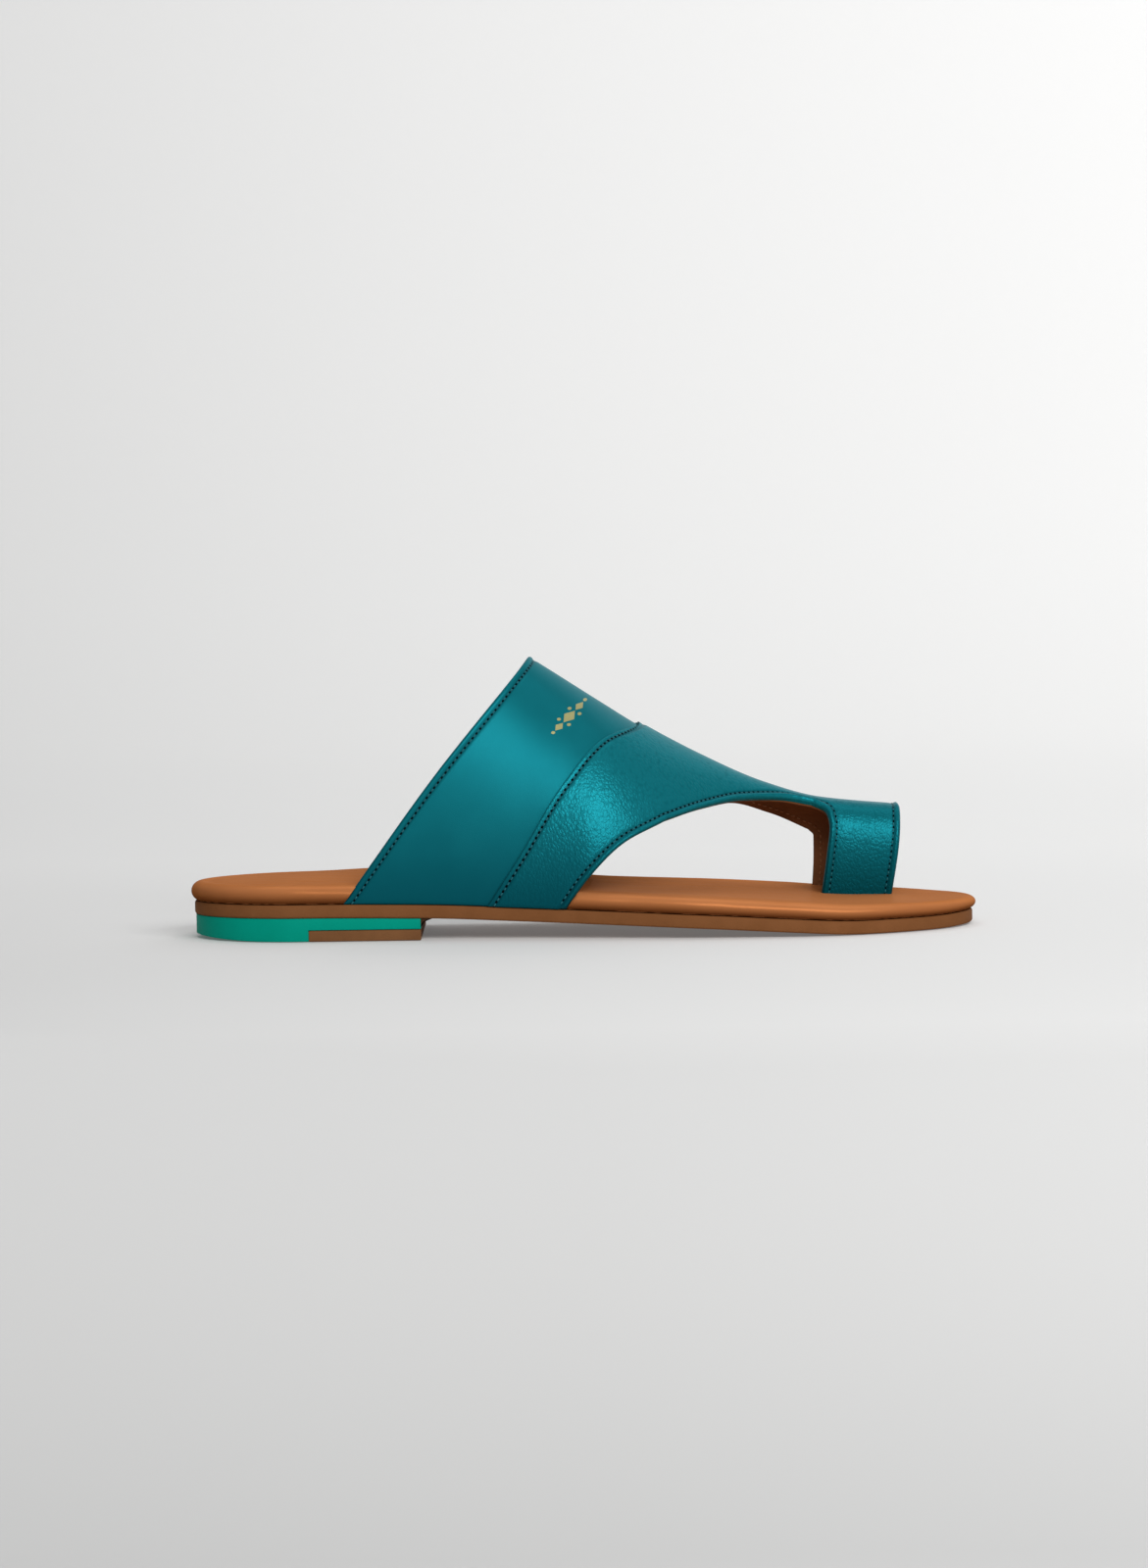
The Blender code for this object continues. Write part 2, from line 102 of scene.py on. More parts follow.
def smooth(x, xs, ys):
    """Cubic through a table; the slope at each station is the harmonic mean of its two chords."""
    xs, ys, x = np.asarray(xs, float), np.asarray(ys, float), np.asarray(x, float)
    step = np.diff(xs)
    chord = np.diff(ys) / step
    before, after = chord[:-1], chord[1:]
    same_way = before * after > 0
    total = np.where(same_way, before + after, 1.0)
    inner_slope = np.where(same_way, 2 * before * after / total, 0.0)
    slope = np.concatenate([chord[:1], inner_slope, chord[-1:]])
    i = np.clip(np.searchsorted(xs, x, side="right") - 1, 0, len(step) - 1)
    t = np.clip((x - xs[i]) / step[i], 0.0, 1.0)
    start, end = slope[i] * step[i], slope[i + 1] * step[i]
    rise = ys[i + 1] - ys[i]
    return ys[i] + t * (start + t * (3 * rise - 2 * start - end + t * (start + end - 2 * rise)))


def ease(x, low, high):
    """Soft step: 3 t squared minus 2 t cubed, with t from 0 at low to 1 at high."""
    t = np.clip((np.asarray(x, float) - low) / (high - low), 0.0, 1.0)
    return t * t * (3 - 2 * t)


def bump_at(x, centre, width):
    """Bell curve of height 1 round centre."""
    return np.exp(-((x - centre) / width)**2)


def mix(a, b, share):
    """Straight blend from a to b."""
    return a + (b - a) * share


def unit(v):
    """Vectors scaled to length 1."""
    return v / np.maximum(np.linalg.norm(v, axis=-1, keepdims=True), 1e-12)


# %% Tables of the sole and of the upper's crest
LENGTH = 280.0
WIDTH_CENTRE = 0.058
GAP = 0.3
SoleRow = namedtuple("SoleRow", "x outer inner bottom footbed arch")
SOLE = [
    SoleRow(0, 31.5, 31.5, 8.2, 6.6, 0.0),
    SoleRow(40, 33.0, 33.0, 8.2, 6.6, 0.3),
    SoleRow(84, 34.5, 31.5, 7.6, 6.6, 2.2),
    SoleRow(118, 37.5, 32.0, 6.2, 6.4, 2.0),
    SoleRow(150, 42.5, 36.0, 4.8, 6.2, 0.3),
    SoleRow(185, 47.0, 43.5, 3.1, 6.0, 0.0),
    SoleRow(212, 46.8, 46.6, 1.4, 5.8, 0.0),
    SoleRow(238, 44.0, 46.0, 0.0, 5.4, 0.0),
    SoleRow(264, 41.0, 43.0, 0.0, 4.8, 0.0),
    SoleRow(280, 39.0, 41.0, 0.6, 4.4, 0.0),
]
CrestRow = namedtuple("CrestRow", "x z y squareness")
CREST = [
    CrestRow(50, 142.0, 2.0, 2.1),
    CrestRow(122, 97.5, 4.0, 2.1),
    CrestRow(148, 80.4, 7.0, 2.1),
    CrestRow(160, 72.6, 9.0, 2.1),
    CrestRow(183, 59.7, 14.0, 2.2),
    CrestRow(205, 49.3, 20.0, 2.8),
    CrestRow(226, 42.9, 24.5, 3.8),
    CrestRow(258, 39.5, 25.0, 3.6),
]


def sole(x, column):
    """One column of the sole's table at x."""
    return smooth(x, [row.x for row in SOLE], [getattr(row, column) for row in SOLE])


def crest(x, column):
    """One column of the crest's table at x."""
    return smooth(x, [row.x for row in CREST], [getattr(row, column) for row in CREST])


print(len(SOLE), "stations along the sole,", len(CREST), "along the crest")

# %% [markdown]
# ## From arrays to meshes
# A surface worked out with numpy is a grid of points. `add_piece` takes the points and arrays of
# faces, writes them into a mesh in one go and lets the piece ride on the sandal's only body.

# %% Mesh helpers
WELD, SLIVER = 0.012 * MM, 0.002 * MM
SOFT_TURN, HARD_TURN = 80.0, 40.0


def to_metres(points):
    """Design millimetres, heel at x 0, to the frame's metres."""
    return (np.asarray(points, float) - (LENGTH / 2, WIDTH_CENTRE, 0.0)) * MM


def grid_quads(rows, columns, wrap=False):
    """Corner numbers of a grid's cells, stored row by row; wrap joins the last column to the first."""
    i, j = np.meshgrid(np.arange(rows - 1), np.arange(columns if wrap else columns - 1), indexing="ij")
    k = (j + 1) % columns
    here, ahead = i * columns, (i + 1) * columns
    return np.stack([here + j, ahead + j, ahead + k, here + k], -1).reshape(-1, 4)


def add_piece(name, points, faces, nodes=(), sharp=SOFT_TURN, groups=None, turn_out=False):
    """Mesh object at the origin, doubles merged, smooth but for edges sharper than the given degrees.

    The faces are a list of arrays, and turn_out makes them all point outwards.
    """
    mesh = bpy.data.meshes.new(name)
    mesh.from_pydata(to_metres(points).tolist(), [], sum([part.tolist() for part in faces], []))
    for label, values in (groups or {}).items():
        layer = mesh.attributes.new(label, "FLOAT", "POINT")
        layer.data.foreach_set("value", np.asarray(values, np.float32).ravel())
    work = bmesh.new()
    work.from_mesh(mesh)
    bmesh.ops.remove_doubles(work, verts=work.verts, dist=WELD)
    bmesh.ops.dissolve_degenerate(work, edges=work.edges, dist=SLIVER)
    if turn_out:
        bmesh.ops.recalc_face_normals(work, faces=work.faces)
    work.to_mesh(mesh)
    work.free()
    mesh.shade_smooth()
    mesh.set_sharp_from_angle(angle=np.radians(sharp))
    piece = new_object(name, mesh)
    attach(piece, "root")
    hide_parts(*nodes)
    print(name, len(mesh.vertices), "points", len(mesh.polygons), "faces")
    return piece


# %% [markdown]
# ## The sole's outline
# Outsole, footbed and heel share one outline. It is drawn from the two half widths, closed round heel
# and toe with the quarter of an ellipse, and moved in or out along its own normals.

# %% Outline
HEEL_ROUND, TOE_ROUND, TOE_TIP_SHIFT = 40.0, 58.0, 1.0
OUTSOLE_THICKNESS, OVERHANG = 4.7, 1.2
OUTLINE_STEPS = 170


def end_rounding(x):
    """Share of the full width: root of 1 minus the squared way into the heel's or the toe's curve."""
    heel = np.clip(1 - x / HEEL_ROUND, 0.0, 1.0)
    toe = np.clip(1 - (LENGTH - x) / TOE_ROUND, 0.0, 1.0)
    return np.sqrt(np.clip(1 - heel**2, 0, 1)) * np.sqrt(np.clip(1 - toe**2, 0, 1))


def footbed_side(x, side):
    """y of the footbed's edge on the outer (-1) or inner (+1) side."""
    column = "outer" if side < 0 else "inner"
    shift = TOE_TIP_SHIFT * ease(x, LENGTH - 2 * TOE_ROUND, LENGTH)
    return shift + side * sole(x, column) * end_rounding(x)


BAND_ENDS = {-1: (55.4, 133.8), 1: (64.0, 138.0)}
LIP, LIP_END, LIP_ROOM = 0.15, 0.45, 0.5
NOTCH = np.concatenate([[back + LIP, back + LIP_END, fore - LIP_END, fore - LIP]
                        for back, fore in BAND_ENDS.values()])
even = LENGTH / 2 * (1 - np.cos(np.linspace(0, np.pi, OUTLINE_STEPS + 1)))
STATIONS = np.sort(np.concatenate([even[np.abs(even[:, None] - NOTCH).min(axis=1) > LIP_ROOM], NOTCH]))
LEAN_IN, LEAN_OUT = (10, 45), (150, 215)


def outline(inset, lean=(0.0, 0.0)):
    """Closed ring: heel tip, outer side, toe tip, inner side; lean moves a side's stations forward."""
    held = ease(STATIONS, *LEAN_IN) * (1 - ease(STATIONS, *LEAN_OUT))
    x = [STATIONS + forward * held for forward in lean]
    sides = [np.stack([x[k], footbed_side(x[k], side)], 1) for k, side in enumerate((-1, 1))]
    ring = np.concatenate([sides[0], sides[1][-2:0:-1]])
    tangent = unit(np.roll(ring, -1, axis=0) - np.roll(ring, 1, axis=0))
    return ring - inset * np.stack([tangent[:, 1], -tangent[:, 0]], 1)


def two_sides(ring):
    """Outer and inner side of a ring, both from the heel's tip to the toe's."""
    half = len(ring) // 2
    return ring[:half + 1], ring[np.concatenate([[0], np.arange(len(ring) - 1, half - 1, -1)])]


def outsole_top(x):
    """Height of the outsole's upper face."""
    return sole(x, "bottom") + OUTSOLE_THICKNESS


def level(x, s):
    """No relief."""
    return 0.0


def slab(rings, columns, relief=level):
    """Points and faces of a layer: stacked rings for its side, rows across it for its top and bottom.

    A row at one station is the straight blend s from its outer to its inner point, plus relief(x, s).
    """
    def cover(ring, columns, relief):
        outer, inner = two_sides(ring)
        s = np.linspace(0, 1, columns + 1)[None, :, None]
        rows = mix(outer[:, None], inner[:, None], s)
        rows[..., 2] += relief(rows[..., 0], s[..., 0])
        return rows.reshape(-1, 3), grid_quads(len(outer), columns + 1)

    side = rings.reshape(-1, 3)
    side_quads = grid_quads(*rings.shape[:2], wrap=True)[:, ::-1]
    top, top_quads = cover(rings[-1], columns, relief)
    foot, foot_quads = cover(rings[0], 2, level)
    first, second = len(side), len(side) + len(top)
    return np.concatenate([side, top, foot]), [side_quads, top_quads + first, foot_quads[:, ::-1] + second]


ring = outline(0.0)
print("outline of", len(ring), "points,", np.round(np.ptp(ring, axis=0), 1), "mm")

# %% [markdown]
# ## The upper as one function
# The upper is a sheet bent over the foot. At each place along the sandal its section is an arch from
# the edge of the sole to the crest: a superellipse, squarer at the toe loop than over the instep. Its
# edges are short tables in side view, so band, neck and loop are cut from one and the same surface.

# %% Arch of the upper
LOOP_LEG = {-1: 10.8, 1: 39.0}
LEG_TURN = (140.0, 226.0)
NEAR_X, NEAR_RISE = 0.1, 0.004


def base_z(x):
    """Foot of the upper: just clear of the outsole."""
    return outsole_top(x) + GAP


def rise_at(x, z):
    """Share of the way from the upper's foot to its crest, at height z."""
    return np.clip((z - base_z(x)) / (crest(x, "z") - base_z(x)), 0.0, 1.0)


def leg_y(x, side):
    """y of the upper's foot, from the sole's edge at the band to the loop's leg at the toe."""
    band = footbed_side(x, side) - side * (OVERHANG + GAP)
    return mix(band, LOOP_LEG[side], ease(x, *LEG_TURN))


def upper_point(x, rise, side):
    """Superellipse arch: width share to the power n plus rise to the power n makes 1."""
    n = crest(x, "squareness")
    width = (1 - np.clip(np.abs(rise), 0, 1)**n)**(1 / n)
    y = mix(crest(x, "y"), leg_y(x, side), width)
    return np.stack([x, y, mix(base_z(x), crest(x, "z"), rise)], -1)


def upper_normal(x, rise, side):
    """Cross product of the surface's steps along x and up the arch, turned outwards."""
    along = upper_point(x + NEAR_X, rise, side) - upper_point(x - NEAR_X, rise, side)
    high, low = np.clip(rise + NEAR_RISE, 0, 1), np.clip(rise - NEAR_RISE, 0, 1)
    climb = upper_point(x, high, side) - upper_point(x, low, side)
    return unit(np.cross(along, climb)) * -side


# %% Edges of the upper
FLOOR, SKY = 0.0, 999.0
EDGES = {
    -1: {
        "rear": [(55.4, FLOOR), (88.9, 58.4), (121.8, SKY)],
        "seam": [(106.2, FLOOR), (118.1, 29.7), (133.9, 54.6), (149.0, 69.5), (160.4, SKY)],
        "window_rear": [(133.8, FLOOR), (141.5, 20.9), (154.5, 33.2), (169.0, 39.8)],
        "window_top": [(169.0, 39.8), (182.3, 43.1), (196.6, 44.9), (211.0, 44.4), (222.8, 42.3)],
        "loop_rear": [(224.8, FLOOR), (227.8, 25.0), (228.9, 34.5), (227.8, 39.2), (222.8, 42.3)],
        "loop_front": [(250.0, FLOOR), (254.2, 32.0), (254.6, SKY)],
    },
    1: {
        "rear": [(64.0, FLOOR), (93.5, 58.0), (121.8, SKY)],
        "seam": [(110.0, FLOOR), (121.0, 29.7), (135.5, 54.6), (150.0, 69.5), (160.4, SKY)],
        "window_rear": [(138.0, FLOOR), (144.0, 20.5), (155.0, 32.0), (169.0, 38.4)],
        "window_top": [(169.0, 38.4), (182.0, 42.0), (194.0, 42.6), (208.0, 38.6), (222.2, 31.9)],
        "loop_rear": [(223.2, FLOOR), (224.2, 24.0), (224.2, 29.4), (222.2, 31.9)],
        "loop_front": [(249.4, FLOOR), (253.4, 32.0), (254.6, SKY)],
    },
}
WINDOW = ("window_rear", "window_top", "loop_rear")
NECK_CREST_START, NECK_CREST_END = 190.0, 225.0


def edge_rows(points, shares):
    """x and rise at shares of an edge's length in side view."""
    x = np.array([point[0] for point in points])
    z = np.clip([point[1] for point in points], base_z(x), crest(x, "z"))
    length = np.concatenate([[0.0], np.cumsum(np.hypot(np.diff(x), np.diff(z)))])
    at = np.asarray(shares) * length[-1]
    x, z = smooth(at, length, x), smooth(at, length, z)
    return np.stack([x, rise_at(x, z)], -1)


def edge_path(side, names, samples):
    """x and rise along one edge, or round a window: up the band, along the neck, down the loop."""
    parts = [edge_rows(EDGES[side][name], np.linspace(0, 1, samples)) for name in names]
    if len(parts) == 3:
        parts = [parts[0], parts[1][1:-1], parts[2][::-1]]
    return np.concatenate(parts)


print("edges per side:", list(EDGES[-1]))

# %% [markdown]
# ## A grid in the shape of an H
# Band, front panel and loop are whole rows of the grid, from one side of the sole over the crest to
# the other. Between band and loop only the neck is left, so there the legs of the rows are missing.
# Rows and columns crowd towards the cut edges, which are rounded and beaded later.

# %% Grid of the upper
BAND_STEPS, PANEL_STEPS, NECK_STEPS, LOOP_STEPS, LEG_STEPS, CROWN_STEPS = 46, 46, 44, 28, 56, 34
BAND_LEG_SHARE, LOOP_LEG_SHARE = 0.6, 0.86
CROWDING, BAND_CROWDING = 0.86, 1.6


def crowd_both(steps):
    """Steps from 0 to 1, close together at both ends: t minus a sine."""
    t = np.linspace(0, 1, steps + 1)
    return t - CROWDING * np.sin(2 * np.pi * t) / (2 * np.pi)


def half_grid(side):
    """x and rise of one side of the upper, by rows from back to toe and columns from sole to crest."""
    edges = EDGES[side]
    leg = np.linspace(0, 1, LEG_STEPS + 1)
    crown = 1 - (1 - np.linspace(0, 1, CROWN_STEPS + 1)**1.45)**1.7

    def whole(name, share):
        return edge_rows(edges[name], np.concatenate([leg * share, share + crown[1:] * (1 - share)]))

    def with_crown(name, crest_x):
        row = edge_rows(edges[name], leg)
        return np.concatenate([row, mix(row[-1], np.array([crest_x, 1.0]), crown[1:, None])])

    rear, seam = whole("rear", BAND_LEG_SHARE), whole("seam", BAND_LEG_SHARE)
    front = whole("loop_front", LOOP_LEG_SHARE)
    window, loop = with_crown("window_rear", NECK_CREST_START), with_crown("loop_rear", NECK_CREST_END)
    band_f = np.linspace(0, 1, BAND_STEPS + 1)[:, None, None]**BAND_CROWDING
    panel_f = crowd_both(PANEL_STEPS)[1:, None, None]
    neck_f = np.linspace(0, 1, NECK_STEPS + 1)[1:-1, None, None]
    loop_f = crowd_both(LOOP_STEPS)[:, None, None]
    neck = mix(window[None], loop[None], neck_f)
    neck_edge = edge_rows(edges["window_top"], neck_f.ravel())[:, None]
    neck[:, LEG_STEPS:] += (neck_edge - neck[:, LEG_STEPS:LEG_STEPS + 1]) * (1 - crown)[None, :, None]
    neck[:, :LEG_STEPS] = np.nan
    return np.concatenate([mix(rear[None], seam[None], band_f), mix(seam[None], window[None], panel_f),
                           neck, mix(loop[None], front[None], loop_f)])


def both_halves(make):
    """Outer half, then the inner half from the crest down, as one grid."""
    outer, inner = make(-1), make(1)
    return np.concatenate([outer, inner[:, -2::-1]], axis=1)


halves = {side: np.moveaxis(half_grid(side), -1, 0) for side in (-1, 1)}
upper_points = both_halves(lambda side: upper_point(*halves[side], side))
upper_normals = both_halves(lambda side: upper_normal(*halves[side], side))
crest_column = LEG_STEPS + CROWN_STEPS
upper_normals[:, crest_column] = unit(upper_normals[:, crest_column - 1] + upper_normals[:, crest_column + 1])
there = ~np.isnan(upper_points[..., 0])
SEAM_ROW, WINDOW_ROW = BAND_STEPS, BAND_STEPS + PANEL_STEPS
LOOP_ROW = WINDOW_ROW + NECK_STEPS
print("grid", upper_points.shape[:2], "of which there", int(there.sum()))

# %% [markdown]
# ## How far each point is from a cut edge
# A folded leather edge is round, has a slight bead and dips where the needle has pulled the thread
# down. All of that depends on one number, the distance to the edge, so it is worked out once for the
# whole grid: first the nearest sample of the edge, then the nearest point on its two segments.

# %% Distance to the edges
FAR_POINT, FAR = 1e4, 1e6


def edge_lines(names, samples):
    """An edge, or the edge of the window, as points of the surface on either side of the foot."""
    return [upper_point(*edge_path(side, names, samples).T, side) for side in (-1, 1)]


def distance_to(lines, points):
    """Smallest distance of each point to any of the lines, row of the grid by row."""
    found = np.full(points.shape[:2], FAR)
    for line in lines:
        start, step = line[:-1], np.diff(line, axis=0)
        for i, row in enumerate(points):
            near = np.argmin(((row[:, None] - line[None])**2).sum(-1), axis=1)
            for shift in (-1, 0):
                k = np.clip(near + shift, 0, len(step) - 1)
                t = np.clip(((row - start[k]) * step[k]).sum(-1) / (step[k]**2).sum(-1), 0, 1)
                found[i] = np.fmin(found[i], np.linalg.norm(row - start[k] - t[:, None] * step[k], axis=-1))
    return found


filled = np.where(there[..., None], upper_points, FAR_POINT)
to_rear, to_seam, to_front = [distance_to(edge_lines([name], 700), filled)
                              for name in ("rear", "seam", "loop_front")]
to_window = distance_to(edge_lines(WINDOW, 500), filled)
to_sole = filled[..., 2] - base_z(filled[..., 0])
columns = np.arange(upper_points.shape[1])
legs = (columns <= LEG_STEPS) | (columns >= columns[-1] - LEG_STEPS)
neck_rim = (columns == LEG_STEPS) | (columns == columns[-1] - LEG_STEPS)
to_rear[0], to_front[-1], to_seam[SEAM_ROW] = 0, 0, 0
to_window[WINDOW_ROW, legs], to_window[LOOP_ROW, legs] = 0, 0
to_window[WINDOW_ROW:LOOP_ROW + 1, neck_rim] = 0
to_sole[:, [0, -1]] = 0
print("points within 3 mm of a window's edge:", int((to_window < 3).sum()))

# %% [markdown]
# ## Leather layers
# Each layer is a closed shell between two offsets from the surface, drawn together in a half circle
# at its edges. The bead and the dip of the stitch line are added to the outside. The smooth band
# leather, the brown lining under it and the grained front panel are three such layers.

# %% Shell of one layer
BEAD, DIP, STITCH_INSET, SEAM_INSET = 0.32, 0.26, 2.5, 2.0
LEATHER_DEPTH, LINING_TOP, WALL = 0.95, 0.98, 1.8
PANEL_TOP, PANEL_FOOT, UNDER_PANEL_DROP = 1.3, 0.2, 0.12
EDGE_LIMIT = 20


def beaded(distance):
    """Bead just inside the edge, and a dip where the stitches lie."""
    return BEAD * bump_at(distance, 1.0, 0.75) - DIP * bump_at(distance, STITCH_INSET, 0.6)


def shell(name, rows, outside, inside, edge, shade_edge, nodes=()):
    """Closed layer over some rows of the grid: offsets close as root of 1 minus (1 - t) squared.

    The distance to the shade edge is stored with the points, for the finish.
    """
    points, normals, present = upper_points[rows], upper_normals[rows], there[rows]
    middle, radius = (outside + inside) / 2, np.abs(outside - inside) / 2
    t = np.clip(edge / np.maximum(radius, 0.05), 0, 1)
    closing = np.sqrt(1 - (1 - t)**2)
    skins = [points + normals * mix(middle, offset, closing)[..., None] for offset in (outside, inside)]
    number = np.cumsum(present).reshape(present.shape) - 1
    cells = grid_quads(*present.shape)
    cells = cells[present.ravel()[cells].all(axis=1)]
    quads = number.ravel()[cells]
    faces = [quads, quads[:, ::-1] + present.sum()]
    groups = {"edge_mm": np.tile(np.minimum(shade_edge, EDGE_LIMIT)[rows][present], 2)}
    skins = np.concatenate([skin[present] for skin in skins])
    return add_piece(name, skins, faces, nodes, groups=groups)


free_edge = np.minimum.reduce([to_rear, to_window, to_front])
any_edge = np.minimum(free_edge, np.maximum(to_sole, 0))
under_panel = ease(np.arange(len(upper_points)), SEAM_ROW + 6, SEAM_ROW + 12)[:, None]
all_rows = slice(None)
flat = np.zeros_like(free_edge)
upper_top = beaded(to_rear) * (1 - under_panel) - UNDER_PANEL_DROP * under_panel
upper = shell("upper", all_rows, upper_top, flat - LEATHER_DEPTH, any_edge, to_rear,
              ["upper"])
lining = shell("upper_lining", all_rows, flat - LINING_TOP, flat - WALL, any_edge, free_edge)

# %% Front panel
ROLL, SKIVE = 0.22, 0.55
panel_rows = slice(SEAM_ROW, None)
to_stitched = np.minimum(free_edge, to_seam + STITCH_INSET - SEAM_INSET)
panel_any = np.minimum(any_edge, to_seam)[panel_rows]
panel_cut = np.minimum(to_window, to_front)[panel_rows]
panel_inside = mix(PANEL_FOOT, -LEATHER_DEPTH, 1 - ease(panel_cut, 1.4, 2.6))
rolled = ROLL * bump_at(panel_cut, 1.0, 0.8)
skived = SKIVE * (1 - ease(to_seam[panel_rows], 0.2, 2.6))
panel_outside = PANEL_TOP + beaded(to_stitched[panel_rows]) + rolled - skived
front_panel = shell("front_panel", panel_rows, panel_outside, panel_inside, panel_any, to_stitched,
                    ["front_panel"])

# %% [markdown]
# ## The footbed
# The footbed is foam under soft leather: a full round edge, a shallow channel just inside it, a dish
# under the foot, a pad under the heel and a low rise on the inner side. Where the band passes it, the
# leather presses its edge in. A profile carried round the outline gives the edge, and rows across the
# sole give the top.

# %% Footbed
EDGE_ROUND, DISH, HEEL_PAD = 3.6, 0.6, 0.8
LOWEST = np.radians(-62)
BAND_LEAN = {-1: 0.737, 1: 0.64}
BAND_ROOM, BAND_END_ROOM = 1.95, 0.3
CHANNEL = [(0.9, 0.03), (1.7, 0.18), (2.5, 0.34), (3.4, 0.36), (4.6, 0.2), (6.2, 0.04)]
TOP_INSET = EDGE_ROUND + CHANNEL[-1][0]


def footbed_ring(inset, share, drop):
    """Ring of the footbed at a share of its thickness; drop lowers it, less so towards the toe.

    Its stations lean forward with height as the band's ends do, so that the notch for them is clean.
    """
    low, high = sole(STATIONS, "footbed"), sole(STATIONS, "footbed") + sole(STATIONS, "arch")
    ring = outline(inset, (BAND_LEAN[-1] * share * low, BAND_LEAN[1] * share * high))
    x = ring[:, 0]
    inner_side = np.arange(len(ring)) > len(ring) // 2
    thickness = sole(x, "footbed") + np.where(inner_side, sole(x, "arch"), 0.0)
    fade = mix(1.0, 0.1, ease(x, 195, 245))
    return np.column_stack([ring, outsole_top(x) + GAP + share * thickness - drop * fade])


def footbed_relief(x, s):
    """Pad under the heel less the dish, both as 4 s (1 - s), and the slope up to the arch."""
    inside = np.clip((x - TOP_INSET) * LENGTH / (LENGTH - 2 * TOP_INSET), 0, LENGTH)
    middle = 4 * s * (1 - s) * end_rounding(inside)**2
    pad = (DISH + HEEL_PAD) * (1 - ease(x, 60, 120))
    return (pad - DISH) * middle + sole(x, "arch") * (ease(s, 0.45, 1.0) - s)


def pressed_in(points):
    """Keeps y between the band's inner faces where the band passes, and leaves the rest alone."""
    x, y, z = points.T
    for side, (back, fore) in BAND_ENDS.items():
        limit = upper_point(x, rise_at(x, z), side)[:, 1] - side * BAND_ROOM
        foot_x = x - BAND_LEAN[side] * (z - base_z(x))
        beside = (foot_x > back + BAND_END_ROOM) & (foot_x < fore - BAND_END_ROOM)
        y = np.where(beside & (side * (y - limit) > 0), limit, y)
    return np.stack([x, y, z], 1)


angles = np.linspace(LOWEST, np.pi / 2, 15)
edge_shares = (np.sin(angles) - np.sin(LOWEST)) / (1 - np.sin(LOWEST))
rings = [footbed_ring(EDGE_ROUND * (1 - np.cos(a)), share, 0.0) for a, share in zip(angles, edge_shares)]
rings += [footbed_ring(EDGE_ROUND + inset, 1.0, drop) for inset, drop in CHANNEL]
footbed_points, footbed_quads = slab(np.stack(rings), 28, footbed_relief)
shade = np.ones(len(footbed_points))
shade[:len(angles) * len(rings[0])] = np.repeat(edge_shares, len(rings[0]))
insole = add_piece("insole", pressed_in(footbed_points), footbed_quads, ["insole"],
                   groups={"edge_share": shade})

# %% [markdown]
# ## Outsole and heel
# The outsole is a bent plate with eased edges. The heel is a green block with a step, a brown top
# piece in that step and a dark fillet in front of it. The block and the top piece are lofts along the
# foot of one small rounded section.

# %% Outsole
EDGE_PROFILE = [(1.3, 0.0), (0.55, 0.1), (0.15, 0.42), (0.0, 0.9), (0.0, 2.4), (0.0, 3.9), (0.12, 4.4),
                (0.45, OUTSOLE_THICKNESS)]
outsole_rings = []
for inset, height in EDGE_PROFILE:
    ring = outline(OVERHANG + inset)
    outsole_rings.append(np.column_stack([ring, sole(ring[:, 0], "bottom") + height]))
outsole_points, outsole_quads = slab(np.stack(outsole_rings), 4)
outsole = add_piece("outsole", outsole_points, outsole_quads, ["outsole"], HARD_TURN)

# %% Heel block and top piece
HEEL_LENGTH, TOP_PIECE_LENGTH, TOP_PIECE_HEIGHT, HEEL_INSET = 82.6, 39.5, 3.9, 0.4
HEEL_BEVEL, HEEL_BEVEL_LENGTH, HEEL_CORNER = 1.6, 28.0, 0.35
HEEL_JOINT, TOP_PIECE_JOINT, STEP_HALF = 0.05, 0.15, 0.02
STEP_X = HEEL_LENGTH - TOP_PIECE_LENGTH
heel_ring = outline(OVERHANG + HEEL_INSET)


def heel_loft(x, low, high):
    """Loft along x of a rectangle with cut corners, between the heel's two sides, low and high."""
    outer, inner = [np.interp(x, *side.T) for side in two_sides(heel_ring)]
    cut = np.minimum(HEEL_CORNER, (inner - outer) / 2)
    turn = np.radians([0, 30, 60, 90])
    corners = [(outer, 1, low, 1, turn), (inner, -1, low, 1, turn[::-1]),
               (inner, -1, high, -1, turn), (outer, 1, high, -1, turn[::-1])]
    points = [np.stack([x, y + inward * cut * (1 - np.cos(a)), z + upward * cut * (1 - np.sin(a))], -1)
              for y, inward, z, upward, angles in corners for a in angles]
    return np.stack(points, 1)


def add_loft(name, sections, nodes):
    """Piece from a loft, closed at both ends by a fan of faces to the section's middle."""
    rows, count = sections.shape[:2]
    points = np.concatenate([sections.reshape(-1, 3), [sections[0].mean(0), sections[-1].mean(0)]])
    j = np.arange(count)
    k = (j + 1) % count
    first, last = np.full(count, rows * count), (rows - 1) * count
    faces = [grid_quads(rows, count, wrap=True), np.stack([first, j, k], 1),
             np.stack([first + 1, last + k, last + j], 1)]
    return add_piece(name, points, faces, nodes, HARD_TURN, turn_out=True)


heel_tip = heel_ring[0, 0]
heel_x = heel_tip + (HEEL_LENGTH - heel_tip) * (1 - np.cos(np.linspace(0, np.pi / 2, 90)))
heel_x = np.sort(np.concatenate([heel_x, [STEP_X - STEP_HALF, STEP_X + STEP_HALF]]))
heel_bevel = HEEL_BEVEL * np.clip(1 - heel_x / HEEL_BEVEL_LENGTH, 0, 1)**2
heel_low = np.where(heel_x > STEP_X, TOP_PIECE_HEIGHT, heel_bevel)
heel_block = add_loft("heel_block", heel_loft(heel_x, heel_low, sole(heel_x, "bottom") - HEEL_JOINT),
                      ["heel_block"])
top_x = np.linspace(STEP_X + TOP_PIECE_JOINT, HEEL_LENGTH, 24)
top_high = np.full_like(top_x, TOP_PIECE_HEIGHT - TOP_PIECE_JOINT)
